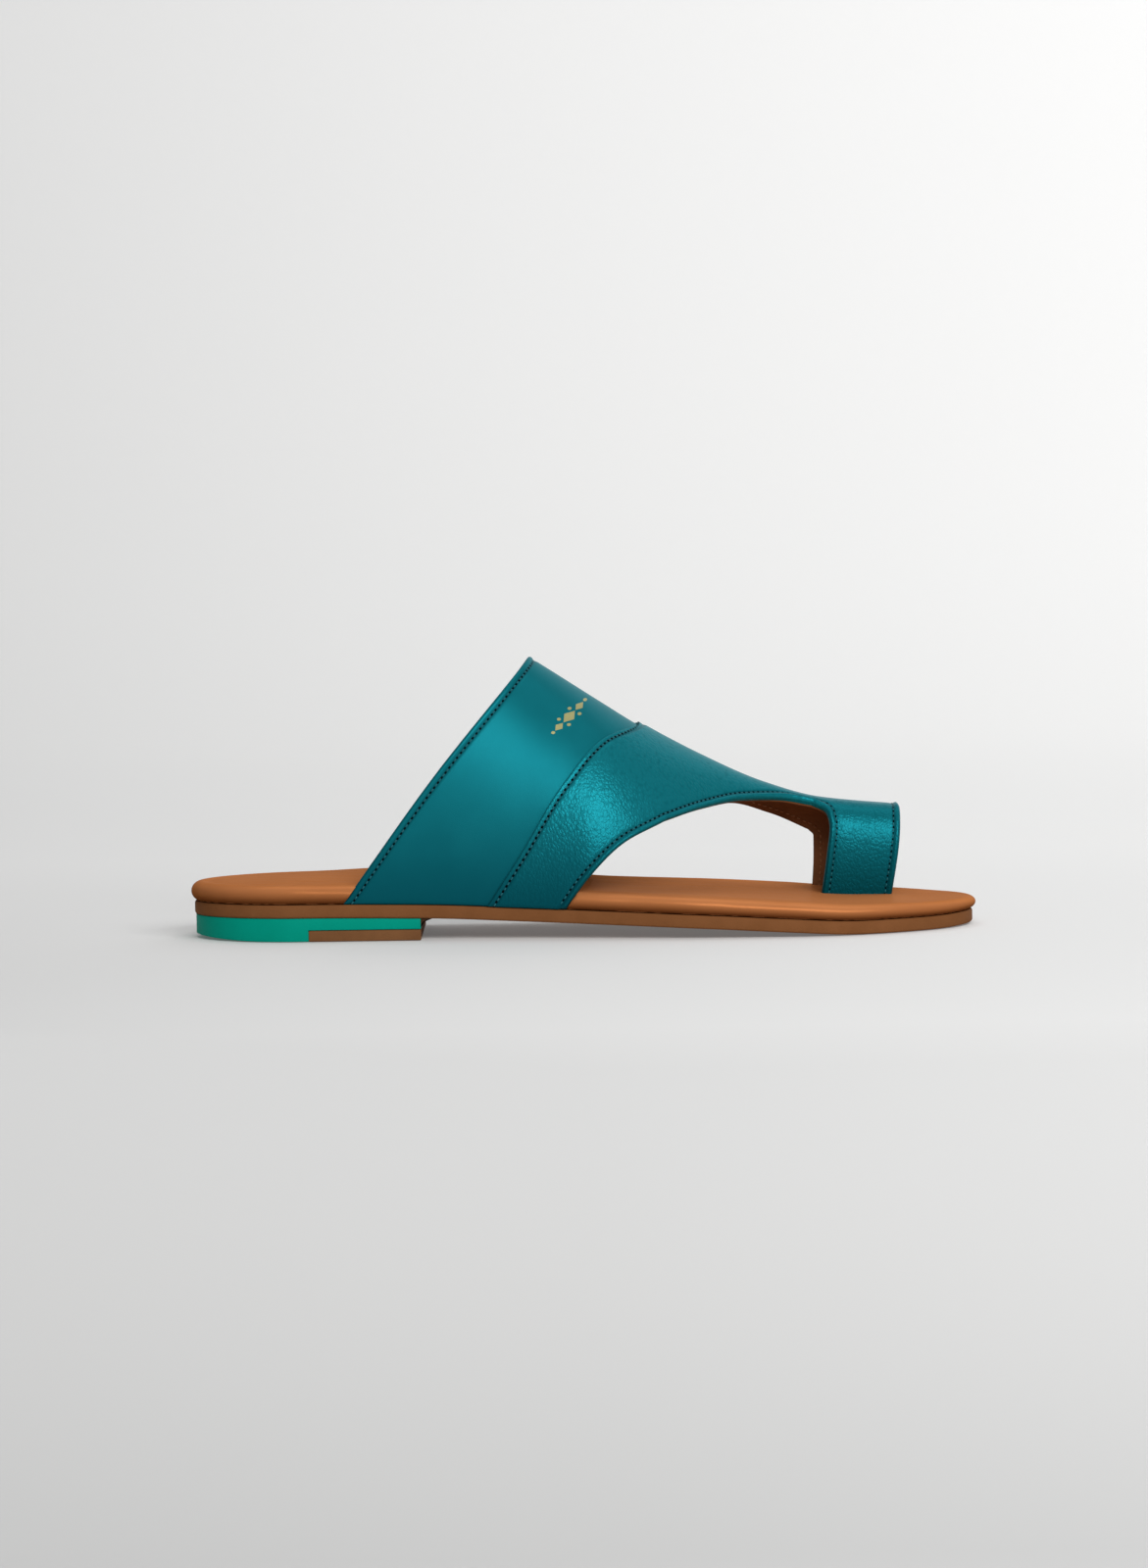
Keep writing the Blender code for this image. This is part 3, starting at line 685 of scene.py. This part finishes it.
heel_top_piece = add_loft("heel_top_piece", heel_loft(top_x, np.zeros_like(top_x), top_high),
                          ["heel_top_piece"])

# %% Fillet at the heel's breast
STRIP_LENGTH, STRIP_HEIGHT = 3.9, 3.0
strip_turn = np.linspace(0, np.pi / 2, 13)
strip_back = HEEL_LENGTH + HEEL_JOINT
strip_x = np.append(strip_back + STRIP_LENGTH * (1 - np.sin(strip_turn)), strip_back)
strip_drop = np.append(STRIP_HEIGHT * (1 - np.cos(strip_turn)), 0.0)
strip_z = sole(strip_x, "bottom") - HEEL_JOINT - strip_drop
strip_sides = [footbed_side(HEEL_LENGTH, side) - side * (OVERHANG + HEEL_INSET) for side in (-1, 1)]
strip_rows = np.stack([np.column_stack([strip_x, np.full(len(strip_x), y), strip_z])
                       for y in np.linspace(*strip_sides, 6)])
heel_breast_strip = add_loft("heel_breast_strip", strip_rows, ["heel_breast_strip"])

# %% [markdown]
# ## Stitches
# A lockstitch shows as short threads that dive into a needle hole at each end; each hole is a dark disc of
# painted shade. The stitch lines
# run a fixed distance inside the cut edges. Each line is found on the surface itself: step inwards
# from the edge in side view, measure the step in space, and correct it a few times.

# %% Stitch lines
PITCH = 2.2


def stitch_line(side, names, distance, lift):
    """Points a distance inside an edge, on one side of the upper, lifted along their normals; and those."""
    x, rise = edge_path(side, names, 600).T
    z = mix(base_z(x), crest(x, "z"), rise)
    edge = upper_point(x, rise, side)
    tangent = unit(np.gradient(np.stack([x, z], 1), axis=0))
    inward = np.stack([tangent[:, 1], -tangent[:, 0]], 1) * np.sign(distance)
    reach = np.full(len(x), abs(distance))
    for _ in range(4):
        new_x, new_z = x + inward[:, 0] * reach, z + inward[:, 1] * reach
        rise = rise_at(new_x, new_z)
        got = np.linalg.norm(upper_point(new_x, rise, side) - edge, axis=1)
        reach = np.clip(reach * abs(distance) / np.maximum(got, 0.2), 0.1, 3 * abs(distance))
    normals = upper_normal(new_x, rise, side)
    return upper_point(new_x, rise, side) + lift * normals, normals


def even_steps(points, normals):
    """The line cut into equal steps: middles, holes, directions, normals, and which holes are inside it."""
    length = np.concatenate([[0.0], np.cumsum(np.linalg.norm(np.diff(points, axis=0), axis=1))])
    count = int(length[-1] / PITCH)
    at = (np.arange(count) + 0.5) / count * length[-1]

    def along(values, where):
        return np.stack([np.interp(where, length, values[:, axis]) for axis in range(3)], 1)

    middle, normal = along(points, at), unit(along(normals, at))
    half = 0.5 / count * length[-1]
    tangent = unit(along(points, at + half * 0.9) - along(points, at - half * 0.9))
    return middle, along(points, at - half), tangent, normal, np.arange(count) > 0


def over_the_crest(name, distance, lift):
    """A stitch line up the outer side and down the inner side of the foot."""
    outer, inner = [stitch_line(side, [name], distance, lift) for side in (-1, 1)]
    return [np.concatenate([up_side, down_side[::-1]]) for up_side, down_side in zip(outer, inner)]


def stitched(rear_lift, front_lift):
    """Stitch lines of all the cut edges: back of the band, front of the loop and the two windows."""
    return [over_the_crest("rear", STITCH_INSET, rear_lift),
            over_the_crest("loop_front", -STITCH_INSET, front_lift),
            *[stitch_line(side, WINDOW, -STITCH_INSET, front_lift) for side in (-1, 1)]]


def joined_steps(lines):
    """Even steps of several stitch lines, one line after the other."""
    return [np.concatenate(values) for values in zip(*[even_steps(*line) for line in lines])]


PANEL_GROOVE, SEAM_SINK = PANEL_TOP - DIP, 0.08
stitch_lines = stitched(-DIP, PANEL_GROOVE)
stitch_lines.insert(1, over_the_crest("seam", SEAM_INSET, PANEL_GROOVE - SEAM_SINK))
middle, hole, tangent, normal, inside_line = joined_steps(stitch_lines)
print(len(middle), "stitches in", len(stitch_lines), "lines")

# %% Threads and needle holes
THREAD_HALF, THREAD_WIDE, THREAD_HIGH, THREAD_LIFT, THREAD_DIVE = 0.74, 0.28, 0.18, 0.13, 0.26
HOLE_LONG, HOLE_WIDE, HOLE_HIGH, HOLE_LIFT = 0.58, 0.6, 0.2, 0.01


def copies(rows, columns, count):
    """Faces of a small grid, closed round its axis, repeated for every copy."""
    quads = grid_quads(rows, columns, wrap=True)
    return (quads[None] + rows * columns * np.arange(count)[:, None, None]).reshape(-1, 4)


def add_stitches(name, shape, origin, tangent, normal):
    """Piece with a copy of one small shape (along, across, up) in every stitch's own frame."""
    axes = np.stack([tangent, np.cross(normal, tangent), normal], 1)
    points = origin[:, None] + np.einsum("sv,nvk->nsk", shape.reshape(-1, 3), axes)
    faces = copies(*shape.shape[:2], len(origin))[:, ::-1]
    return add_piece(name, points.reshape(-1, 3), [faces])


around = np.linspace(0, 2 * np.pi, 9)[:-1]
u, v = np.meshgrid(np.linspace(-1, 1, 7), around, indexing="ij")
thick = np.sqrt(1 - np.abs(u)**3)
thread_shape = np.stack([THREAD_HALF * u, THREAD_WIDE * thick * np.cos(v),
                         THREAD_HIGH * thick * np.sin(v) + THREAD_LIFT - THREAD_DIVE * u**2], -1)
threads = add_stitches("stitch_threads", thread_shape, middle, tangent, normal)

# Each needle hole is a small dark disc on the leather: painted shade where the hole is.
r, v = np.meshgrid([1.0, 0.8, 0.45, 0.0], around, indexing="ij")
hole_shape = np.stack([HOLE_LONG * r * np.cos(v), HOLE_WIDE * r * np.sin(v),
                       HOLE_HIGH * (1 - r**2) + HOLE_LIFT], -1)
holes = add_stitches("needle_hole_shade_discs", hole_shape, hole[inside_line], tangent[inside_line],
                     normal[inside_line])

# %% Threads on the lining
middle, _, tangent, normal, _ = joined_steps(stitched(-WALL, -WALL))
lining_threads = add_stitches("lining_threads", thread_shape, middle, tangent, -normal)

# %% [markdown]
# ## A small gold ornament
# The band carries a small foil ornament near the crest. Here it is a plain row of lozenges and dots,
# laid on the leather: each shape is a flat disc with a rounded or pointed rim, mapped through the
# upper's own function so that it follows the bend of the band.

# %% Ornament
ORNAMENT_X, ORNAMENT_Z, ORNAMENT_LEAN, FORESHORTENED = 136.0, 77.0, np.radians(52), 0.72
FOIL_LIFT, FOIL_SPOKES = [-0.1, 0.05, 0.06, 0.06, 0.06], 32
Foil = namedtuple("Foil", "along across long wide power")
FOILS = [Foil(0.0, 0.0, 3.3, 2.2, 1.0), *[Foil(along, 0.0, 2.2, 1.5, 1.0) for along in (5.9, -5.9)]]
DOTS = [(3.1, 2.2), (3.1, -2.2), (-3.1, 2.2), (-3.1, -2.2), (9.3, 0.0), (-9.3, 0.0)]
FOILS += [Foil(along, across, 0.7, 0.7, 2.0) for along, across in DOTS]


def foil_disc(foil):
    """Disc whose rim is |a|^p + |b|^p = 1: a lozenge for p 1 and an ellipse for p 2. The rim comes twice."""
    reaches = np.concatenate([[1.0], np.linspace(1, 0, len(FOIL_LIFT) - 1)])
    r, t = np.meshgrid(reaches, np.linspace(0, 2 * np.pi, FOIL_SPOKES, endpoint=False), indexing="ij")
    c, s = np.cos(t), np.sin(t)
    reach = r / (np.abs(c)**foil.power + np.abs(s)**foil.power)**(1 / foil.power)
    return np.stack([foil.along + foil.long * reach * c, foil.across + foil.wide * reach * s], -1)


along, across = np.moveaxis(np.stack([foil_disc(foil) for foil in FOILS]), -1, 0)
cos, sin = np.cos(ORNAMENT_LEAN), np.sin(ORNAMENT_LEAN)
x = ORNAMENT_X + along * cos + across * sin
rise = rise_at(x, ORNAMENT_Z + along * sin * FORESHORTENED - across * cos * FORESHORTENED)
foil_lift = np.array(FOIL_LIFT)[None, :, None, None]
foil_points = upper_point(x, rise, -1) + foil_lift * upper_normal(x, rise, -1)
foil_quads = copies(len(FOIL_LIFT), FOIL_SPOKES, len(FOILS))
ornament = add_piece("gold_ornament", foil_points.reshape(-1, 3), [foil_quads])

# %% [markdown]
# ## Finishes
# Leather isn't one flat colour. Pores, creases and a slow mottle change its colour, gloss and relief,
# at their real scale; the darker colour in the creases is painted shade. Two node groups are shared:
# fine pores for smooth leather and pebbles for the grained one. Shaders stay in the materials, and the groups
# put out only values that vary.

# %% Node helpers
def node(tree, kind, inputs=None, **settings):
    """New node with settings and input values; an input may be a value or another node's socket."""
    made = tree.nodes.new(kind)
    for key, value in settings.items():
        setattr(made, key, value)
    for key, value in (inputs or {}).items():
        if isinstance(value, bpy.types.NodeSocket):
            tree.links.new(value, made.inputs[key])
        else:
            made.inputs[key].default_value = value
    return made


def new_group(name, takes, gives):
    """Node group of a Vector and named floats that gives named floats, and the sockets inside it."""
    tree = bpy.data.node_groups.new(name, "ShaderNodeTree")
    tree.interface.new_socket("Vector", in_out="INPUT", socket_type="NodeSocketVector")
    for label, value in takes.items():
        socket = tree.interface.new_socket(label, in_out="INPUT", socket_type="NodeSocketFloat")
        socket.default_value = value
    for label in gives:
        tree.interface.new_socket(label, in_out="OUTPUT", socket_type="NodeSocketFloat")
    return tree, tree.nodes.new("NodeGroupInput").outputs, tree.nodes.new("NodeGroupOutput").inputs


def maths(tree, operation, a, b=0.5, clamp=False):
    """Math node's result."""
    return node(tree, "ShaderNodeMath", {0: a, 1: b}, operation=operation, use_clamp=clamp).outputs[0]


def vector_maths(tree, operation, a, b, second=1):
    """Vector math node's result; second names the socket that b goes to."""
    return node(tree, "ShaderNodeVectorMath", {0: a, second: b}, operation=operation).outputs["Vector"]


def noise(tree, place, scale, detail, gives="Fac"):
    """Noise texture's result."""
    inputs = {"Vector": place, "Scale": scale, "Detail": detail}
    return node(tree, "ShaderNodeTexNoise", inputs).outputs[gives]


def cell_distance(tree, place, scale, **settings):
    """Distance that a Voronoi texture of random cells gives."""
    inputs = {"Vector": place, "Scale": scale, "Randomness": 1.0}
    return node(tree, "ShaderNodeTexVoronoi", inputs, **settings).outputs["Distance"]


def ramp(tree, value, low, high, low_to=0.0, high_to=1.0, kind="SMOOTHSTEP"):
    """Step of a value from low to high, soft unless kind says LINEAR."""
    made = node(tree, "ShaderNodeMapRange",
                {"Value": value, "From Min": low, "From Max": high, "To Min": low_to, "To Max": high_to},
                interpolation_type=kind)
    return made.outputs["Result"]


# %% Fine pores and slow mottle
pores, takes, gives = new_group("fine_pores", {"Pore Scale": 1500.0, "Mottle Scale": 45.0},
                                ["Height", "Mottle"])
fine = noise(pores, takes["Vector"], takes["Pore Scale"], 2.0)
pits = ramp(pores, cell_distance(pores, takes["Vector"], takes["Pore Scale"]), 0.0, 0.5)
height = maths(pores, "ADD", maths(pores, "MULTIPLY", pits, 0.6), maths(pores, "MULTIPLY", fine, 0.4))
pores.links.new(height, gives["Height"])
pores.links.new(noise(pores, takes["Vector"], takes["Mottle Scale"], 3.0), gives["Mottle"])

# %% Pebbled grain
pebbles, takes, gives = new_group("pebbled_grain", {"Pebble Scale": 700.0, "Wander": 0.0012},
                                  ["Height", "Crease"])
drift = noise(pebbles, takes["Vector"], 260.0, 2.0, "Color")
centred = vector_maths(pebbles, "SUBTRACT", drift, (0.5, 0.5, 0.5))
shifted = vector_maths(pebbles, "SCALE", centred, takes["Wander"], "Scale")
moved = vector_maths(pebbles, "ADD", takes["Vector"], shifted)
drawn = vector_maths(pebbles, "MULTIPLY", moved, (1.0, 1.0, 0.62))
cells = cell_distance(pebbles, drawn, takes["Pebble Scale"], feature="SMOOTH_F1")
veins = cell_distance(pebbles, drawn, takes["Pebble Scale"], feature="DISTANCE_TO_EDGE")
domes = ramp(pebbles, cells, 0.05, 0.75, 1.0, 0.0)
rough = noise(pebbles, drawn, 900.0, 2.0)
creases = ramp(pebbles, veins, 0.0, 0.25)
height = maths(pebbles, "ADD", maths(pebbles, "MULTIPLY", domes, 0.5), maths(pebbles, "MULTIPLY", rough, 0.4))
height = maths(pebbles, "ADD", height, maths(pebbles, "MULTIPLY", creases, 0.4))
pebbles.links.new(height, gives["Height"])
pebbles.links.new(ramp(pebbles, cells, 0.4, 0.8), gives["Crease"])
print("groups:", [group.name for group in (pores, pebbles)])

# %% Base of every material
def new_material(name, roughness, **constants):
    """Principled material with Object coordinates; constants go straight onto the shader's sockets."""
    material = bpy.data.materials.new(name)
    material.use_nodes = True
    tree = material.node_tree
    shader = tree.nodes["Principled BSDF"]
    shader.inputs["Roughness"].default_value = roughness
    for key, value in constants.items():
        shader.inputs[key.replace("_", " ")].default_value = value
    return material, tree, tree.nodes.new("ShaderNodeTexCoord").outputs["Object"]


def blend_colour(tree, factor, a, b):
    """Colour between a and b, each a socket or red, green and blue."""
    a, b = [(*colour, 1.0) if isinstance(colour, tuple) else colour for colour in (a, b)]
    return node(tree, "ShaderNodeMix", {0: factor, 6: a, 7: b}, data_type="RGBA").outputs[2]


def mottled(tree, grain, dark, light, low=0.25, high=0.75):
    """Colour between dark and light, by the slow mottle that comes with the fine pores."""
    return blend_colour(tree, ramp(tree, grain.outputs["Mottle"], low, high), dark, light)


def use_group(tree, group, place, **values):
    """A shared group placed in a material with its own values."""
    made = node(tree, "ShaderNodeGroup", node_tree=group)
    tree.links.new(place, made.inputs["Vector"])
    for key, value in values.items():
        made.inputs[key.replace("_", " ")].default_value = value
    return made


def stored(tree, name):
    """Value that is stored with the points of a piece."""
    return node(tree, "ShaderNodeAttribute", attribute_name=name).outputs["Fac"]


def dress(piece, material, colour, height, relief, strength=1.0, gloss=None):
    """Gives a piece its material: colour, a height as relief in metres, and gloss where it varies."""
    tree = material.node_tree
    shader = tree.nodes["Principled BSDF"]
    bump = node(tree, "ShaderNodeBump", {"Height": height, "Distance": relief, "Strength": strength})
    tree.links.new(colour, shader.inputs["Base Color"])
    tree.links.new(bump.outputs["Normal"], shader.inputs["Normal"])
    if gloss is not None:
        tree.links.new(gloss, shader.inputs["Roughness"])
    piece.data.materials.append(material)


# %% Smooth teal leather of the band
TEAL_GLOSS = {"Metallic": 0.36, "Specular_IOR_Level": 0.05, "Specular_Tint": (0.12, 0.72, 0.8, 1.0)}


def leather_colour_with_painted_shade(tree, place, colour, groove_shade_colour, sole_shade_colour):
    """Darkens a leather colour in the stitch groove and towards the sole: painted shade in the dip and on the
    low part of the upper.
    """
    from_groove = maths(tree, "SUBTRACT", stored(tree, "edge_mm"), STITCH_INSET)
    groove = ramp(tree, maths(tree, "ABSOLUTE", from_groove), 0.2, 1.0, 0.45, 1.0)
    height = node(tree, "ShaderNodeSeparateXYZ", {"Vector": place}).outputs["Z"]
    colour = blend_colour(tree, ramp(tree, height, 0.004, 0.052), sole_shade_colour, colour)
    return blend_colour(tree, groove, groove_shade_colour, colour)


material, tree, place = new_material("smooth_teal_leather", 0.36, **TEAL_GLOSS)
grain = use_group(tree, pores, place, Pore_Scale=2400.0, Mottle_Scale=50.0)
colour = mottled(tree, grain, (0.004, 0.128, 0.156), (0.005, 0.144, 0.174))
# Painted shade: the band's colour darkens in the stitch groove and towards the sole.
colour = leather_colour_with_painted_shade(tree, place, colour, (0.001, 0.045, 0.06), (0.002, 0.07, 0.092))
gloss = ramp(tree, grain.outputs["Mottle"], 0.2, 0.8, 0.35, 0.4)
dress(upper, material, colour, grain.outputs["Height"], 5e-5, 0.6, gloss)

# %% Grained teal leather of the front panel
material, tree, place = new_material("grained_teal_leather", 0.34, **TEAL_GLOSS)
grain = use_group(tree, pebbles, place, Pebble_Scale=980.0, Wander=0.0016)
# Painted shade: the colour is darker in the creases between the pebbles.
colour = blend_colour(tree, grain.outputs["Crease"], (0.006, 0.16, 0.193), (0.004, 0.132, 0.16))
# Painted shade: the panel's colour darkens in the stitch groove and towards the sole.
colour = leather_colour_with_painted_shade(tree, place, colour, (0.001, 0.05, 0.066), (0.0015, 0.058, 0.076))
gloss = ramp(tree, grain.outputs["Crease"], 0.0, 1.0, 0.33, 0.4)
dress(front_panel, material, colour, grain.outputs["Height"], 12e-5, 0.7, gloss)

# %% Brown lining
material, tree, place = new_material("brown_lining_leather", 0.62, Specular_IOR_Level=0.1)
grain = use_group(tree, pores, place, Pore_Scale=900.0, Mottle_Scale=90.0)
colour = mottled(tree, grain, (0.12, 0.045, 0.016), (0.18, 0.07, 0.026))
dress(lining, material, colour, grain.outputs["Height"], 1e-4, 0.6)

# %% Tan leather of the footbed
TAN_GLOSS = {"Metallic": 0.16, "Specular_IOR_Level": 0.0, "Specular_Tint": (0.6, 0.4, 0.25, 1.0)}
material, tree, place = new_material("tan_footbed_leather", 0.33, **TAN_GLOSS)
grain = use_group(tree, pores, place, Pore_Scale=1800.0, Mottle_Scale=30.0)
colour = mottled(tree, grain, (0.46, 0.165, 0.056), (0.5, 0.186, 0.066))
# Painted shade: the lower part of the footbed's round edge is darker, most at its foot.
colour = blend_colour(tree, ramp(tree, stored(tree, "edge_share"), 0.0, 0.9), (0.13, 0.038, 0.01), colour)
gloss = ramp(tree, grain.outputs["Mottle"], 0.2, 0.8, 0.28, 0.34)
slack = noise(tree, vector_maths(tree, "MULTIPLY", place, (0.3, 1.0, 1.0)), 150.0, 1.0)
height = maths(tree, "ADD", slack, maths(tree, "MULTIPLY", grain.outputs["Height"], 0.03))
dress(insole, material, colour, height, 9e-4, 0.6, gloss)

# %% Outsole, heel, fillet and needle holes
def matt_finish(piece, name, dark, light, roughness, relief):
    """Matt moulded or cut-edge finish: fine speckle, slow mottle and a slight tooth."""
    material, tree, place = new_material(name, roughness, Specular_IOR_Level=0.03)
    grain = use_group(tree, pores, place, Pore_Scale=1100.0, Mottle_Scale=110.0)
    dress(piece, material, mottled(tree, grain, dark, light, 0.2, 0.8), grain.outputs["Height"], relief, 0.6)


matt_finish(outsole, "brown_outsole", (0.165, 0.064, 0.022), (0.19, 0.075, 0.027), 0.68, 8e-5)
matt_finish(heel_block, "green_heel", (0.0, 0.25, 0.178), (0.0, 0.27, 0.194), 0.5, 4e-5)
matt_finish(heel_top_piece, "brown_top_piece", (0.15, 0.065, 0.026), (0.19, 0.085, 0.034), 0.68, 8e-5)
# The fillet's very dark brown is partly its own stain and partly painted shade of the heel's breast.
matt_finish(heel_breast_strip, "fillet_dark_stain_and_shade", (0.035, 0.017, 0.009), (0.05, 0.025, 0.013), 0.75, 8e-5)
# The needle holes' near-black colour is painted shade.
matt_finish(holes, "needle_hole_painted_shade", (0.0004, 0.002, 0.003), (0.0008, 0.004, 0.005), 0.9, 2e-5)

# %% Threads and foil
def twisted_thread(piece, name, dark, light):
    """Sewing thread: fine slanted bands, darker in the grooves of the twist and lighter on its crowns,
    painted shade and highlight, with a relief to match.
    """
    material, tree, place = new_material(name, 0.5, Specular_IOR_Level=0.3)
    twist = node(tree, "ShaderNodeTexWave", {"Vector": place, "Scale": 900.0, "Distortion": 1.5},
                 bands_direction="DIAGONAL").outputs["Fac"]
    dress(piece, material, blend_colour(tree, twist, dark, light), twist, 6e-5)


twisted_thread(threads, "teal_thread", (0.002, 0.07, 0.09), (0.006, 0.13, 0.16))
twisted_thread(lining_threads, "brown_thread", (0.2, 0.08, 0.03), (0.32, 0.14, 0.055))

material, tree, place = new_material("gold_foil", 0.42, Metallic=0.4, Specular_IOR_Level=0.2)
grain = use_group(tree, pores, place, Pore_Scale=1600.0, Mottle_Scale=240.0)
colour = blend_colour(tree, grain.outputs["Mottle"], (0.3, 0.28, 0.12), (0.42, 0.4, 0.18))
dress(ornament, material, colour, grain.outputs["Height"], 4e-5)
print(len(bpy.data.materials), "materials")

# %% [markdown]
# ## Studio
# A pale paper sweep runs from the floor up behind the sandal, so that there is no horizon. One large
# soft light stands above and in front, where it draws the broad sheen across the middle of the band,
# and a weaker one hangs overhead. The paper glows a little towards the back and the right, painted light
# as if lit from there, and its colour darkens towards the front, painted shade; the world gives a little
# light from all round.

# %% Sweep
SWEEP = np.array([(-3.0, 0.0), (1.2, 0.0), (1.9, 0.12), (2.4, 0.55), (2.6, 1.2), (2.6, 4.0)])
SWEEP_ROWS, SWEEP_COLUMNS, SWEEP_HALF_WIDTH, SWEEP_DROP = 60, 9, 4, 0.0002
sweep_length = np.concatenate([[0.0], np.cumsum(np.hypot(*np.diff(SWEEP, axis=0).T))])
sweep_at = np.linspace(0, 1, SWEEP_ROWS) * sweep_length[-1]
sweep_y, sweep_z = [smooth(sweep_at, sweep_length, values)[:, None] for values in SWEEP.T]
sweep_x = np.linspace(-SWEEP_HALF_WIDTH, SWEEP_HALF_WIDTH, SWEEP_COLUMNS)[None]
sweep_points = np.stack(np.broadcast_arrays(sweep_x, sweep_y, sweep_z - SWEEP_DROP), -1).reshape(-1, 3)
sweep_quads = grid_quads(SWEEP_ROWS, SWEEP_COLUMNS)[:, ::-1]
sweep_mesh = bpy.data.meshes.new("studio_sweep")
sweep_mesh.from_pydata(sweep_points.tolist(), [], sweep_quads.tolist())
sweep_mesh.shade_smooth()
studio_sweep = new_object("studio_sweep", sweep_mesh)

# %% Paper
material, tree, place = new_material("pale_paper", 0.9, Emission_Strength=1.0)
shader = tree.nodes["Principled BSDF"]
axes = node(tree, "ShaderNodeSeparateXYZ", {"Vector": place}).outputs
colour = blend_colour(tree, noise(tree, place, 1.1, 1.0), (0.66, 0.66, 0.657), (0.68, 0.68, 0.676))
# Painted shade: the paper's colour darkens towards the front.
front = ramp(tree, axes["Y"], -1.04, -0.32, kind="LINEAR")
colour = blend_colour(tree, front, (0.345, 0.345, 0.343), colour)
tree.links.new(colour, shader.inputs["Base Color"])
# Painted light: the paper glows, more towards the back and the right.
depth = maths(tree, "ADD", ramp(tree, axes["Y"], -0.42, 0.35, 0.0, 0.235, kind="LINEAR"),
              ramp(tree, axes["Y"], 0.35, 2.4, 0.0, 0.295, kind="LINEAR"))
lift = maths(tree, "ADD", depth, maths(tree, "MULTIPLY", axes["X"], 0.23), clamp=True)
glow = blend_colour(tree, lift, (0.0, 0.0, 0.0), (1.0, 1.0, 0.995))
tree.links.new(glow, shader.inputs["Emission Color"])
sweep_mesh.materials.append(material)

# %% Lights
def soft_light(name, place, aim, size, power):
    """Rectangular white area light at a place, turned towards its aim."""
    data = bpy.data.lights.new(name, "AREA")
    data.shape = "RECTANGLE"
    data.size, data.size_y = size
    data.energy = power
    back = unit(np.array(place, float) - np.array(aim, float))
    side = unit(np.cross([0, 0, 1.0], back))
    stand_at(new_object(name, data), place, [side, np.cross(back, side), back])


soft_light("key_softbox", (0.48, -1.33, 0.82), (0, 0, 0.05), (1.5, 0.64), 24)
soft_light("top_softbox", (0.1, 0.3, 1.9), (0, 0, 0), (2.0, 1.0), 9)

world = bpy.data.worlds.new("studio")
world.use_nodes = True
background = world.node_tree.nodes["Background"].inputs
background["Color"].default_value = (1, 1, 1, 1)
background["Strength"].default_value = 0.18
bpy.context.scene.world = world
bpy.context.scene.view_settings.view_transform = "Standard"
print("lights:", [lamp.name for lamp in bpy.data.lights])
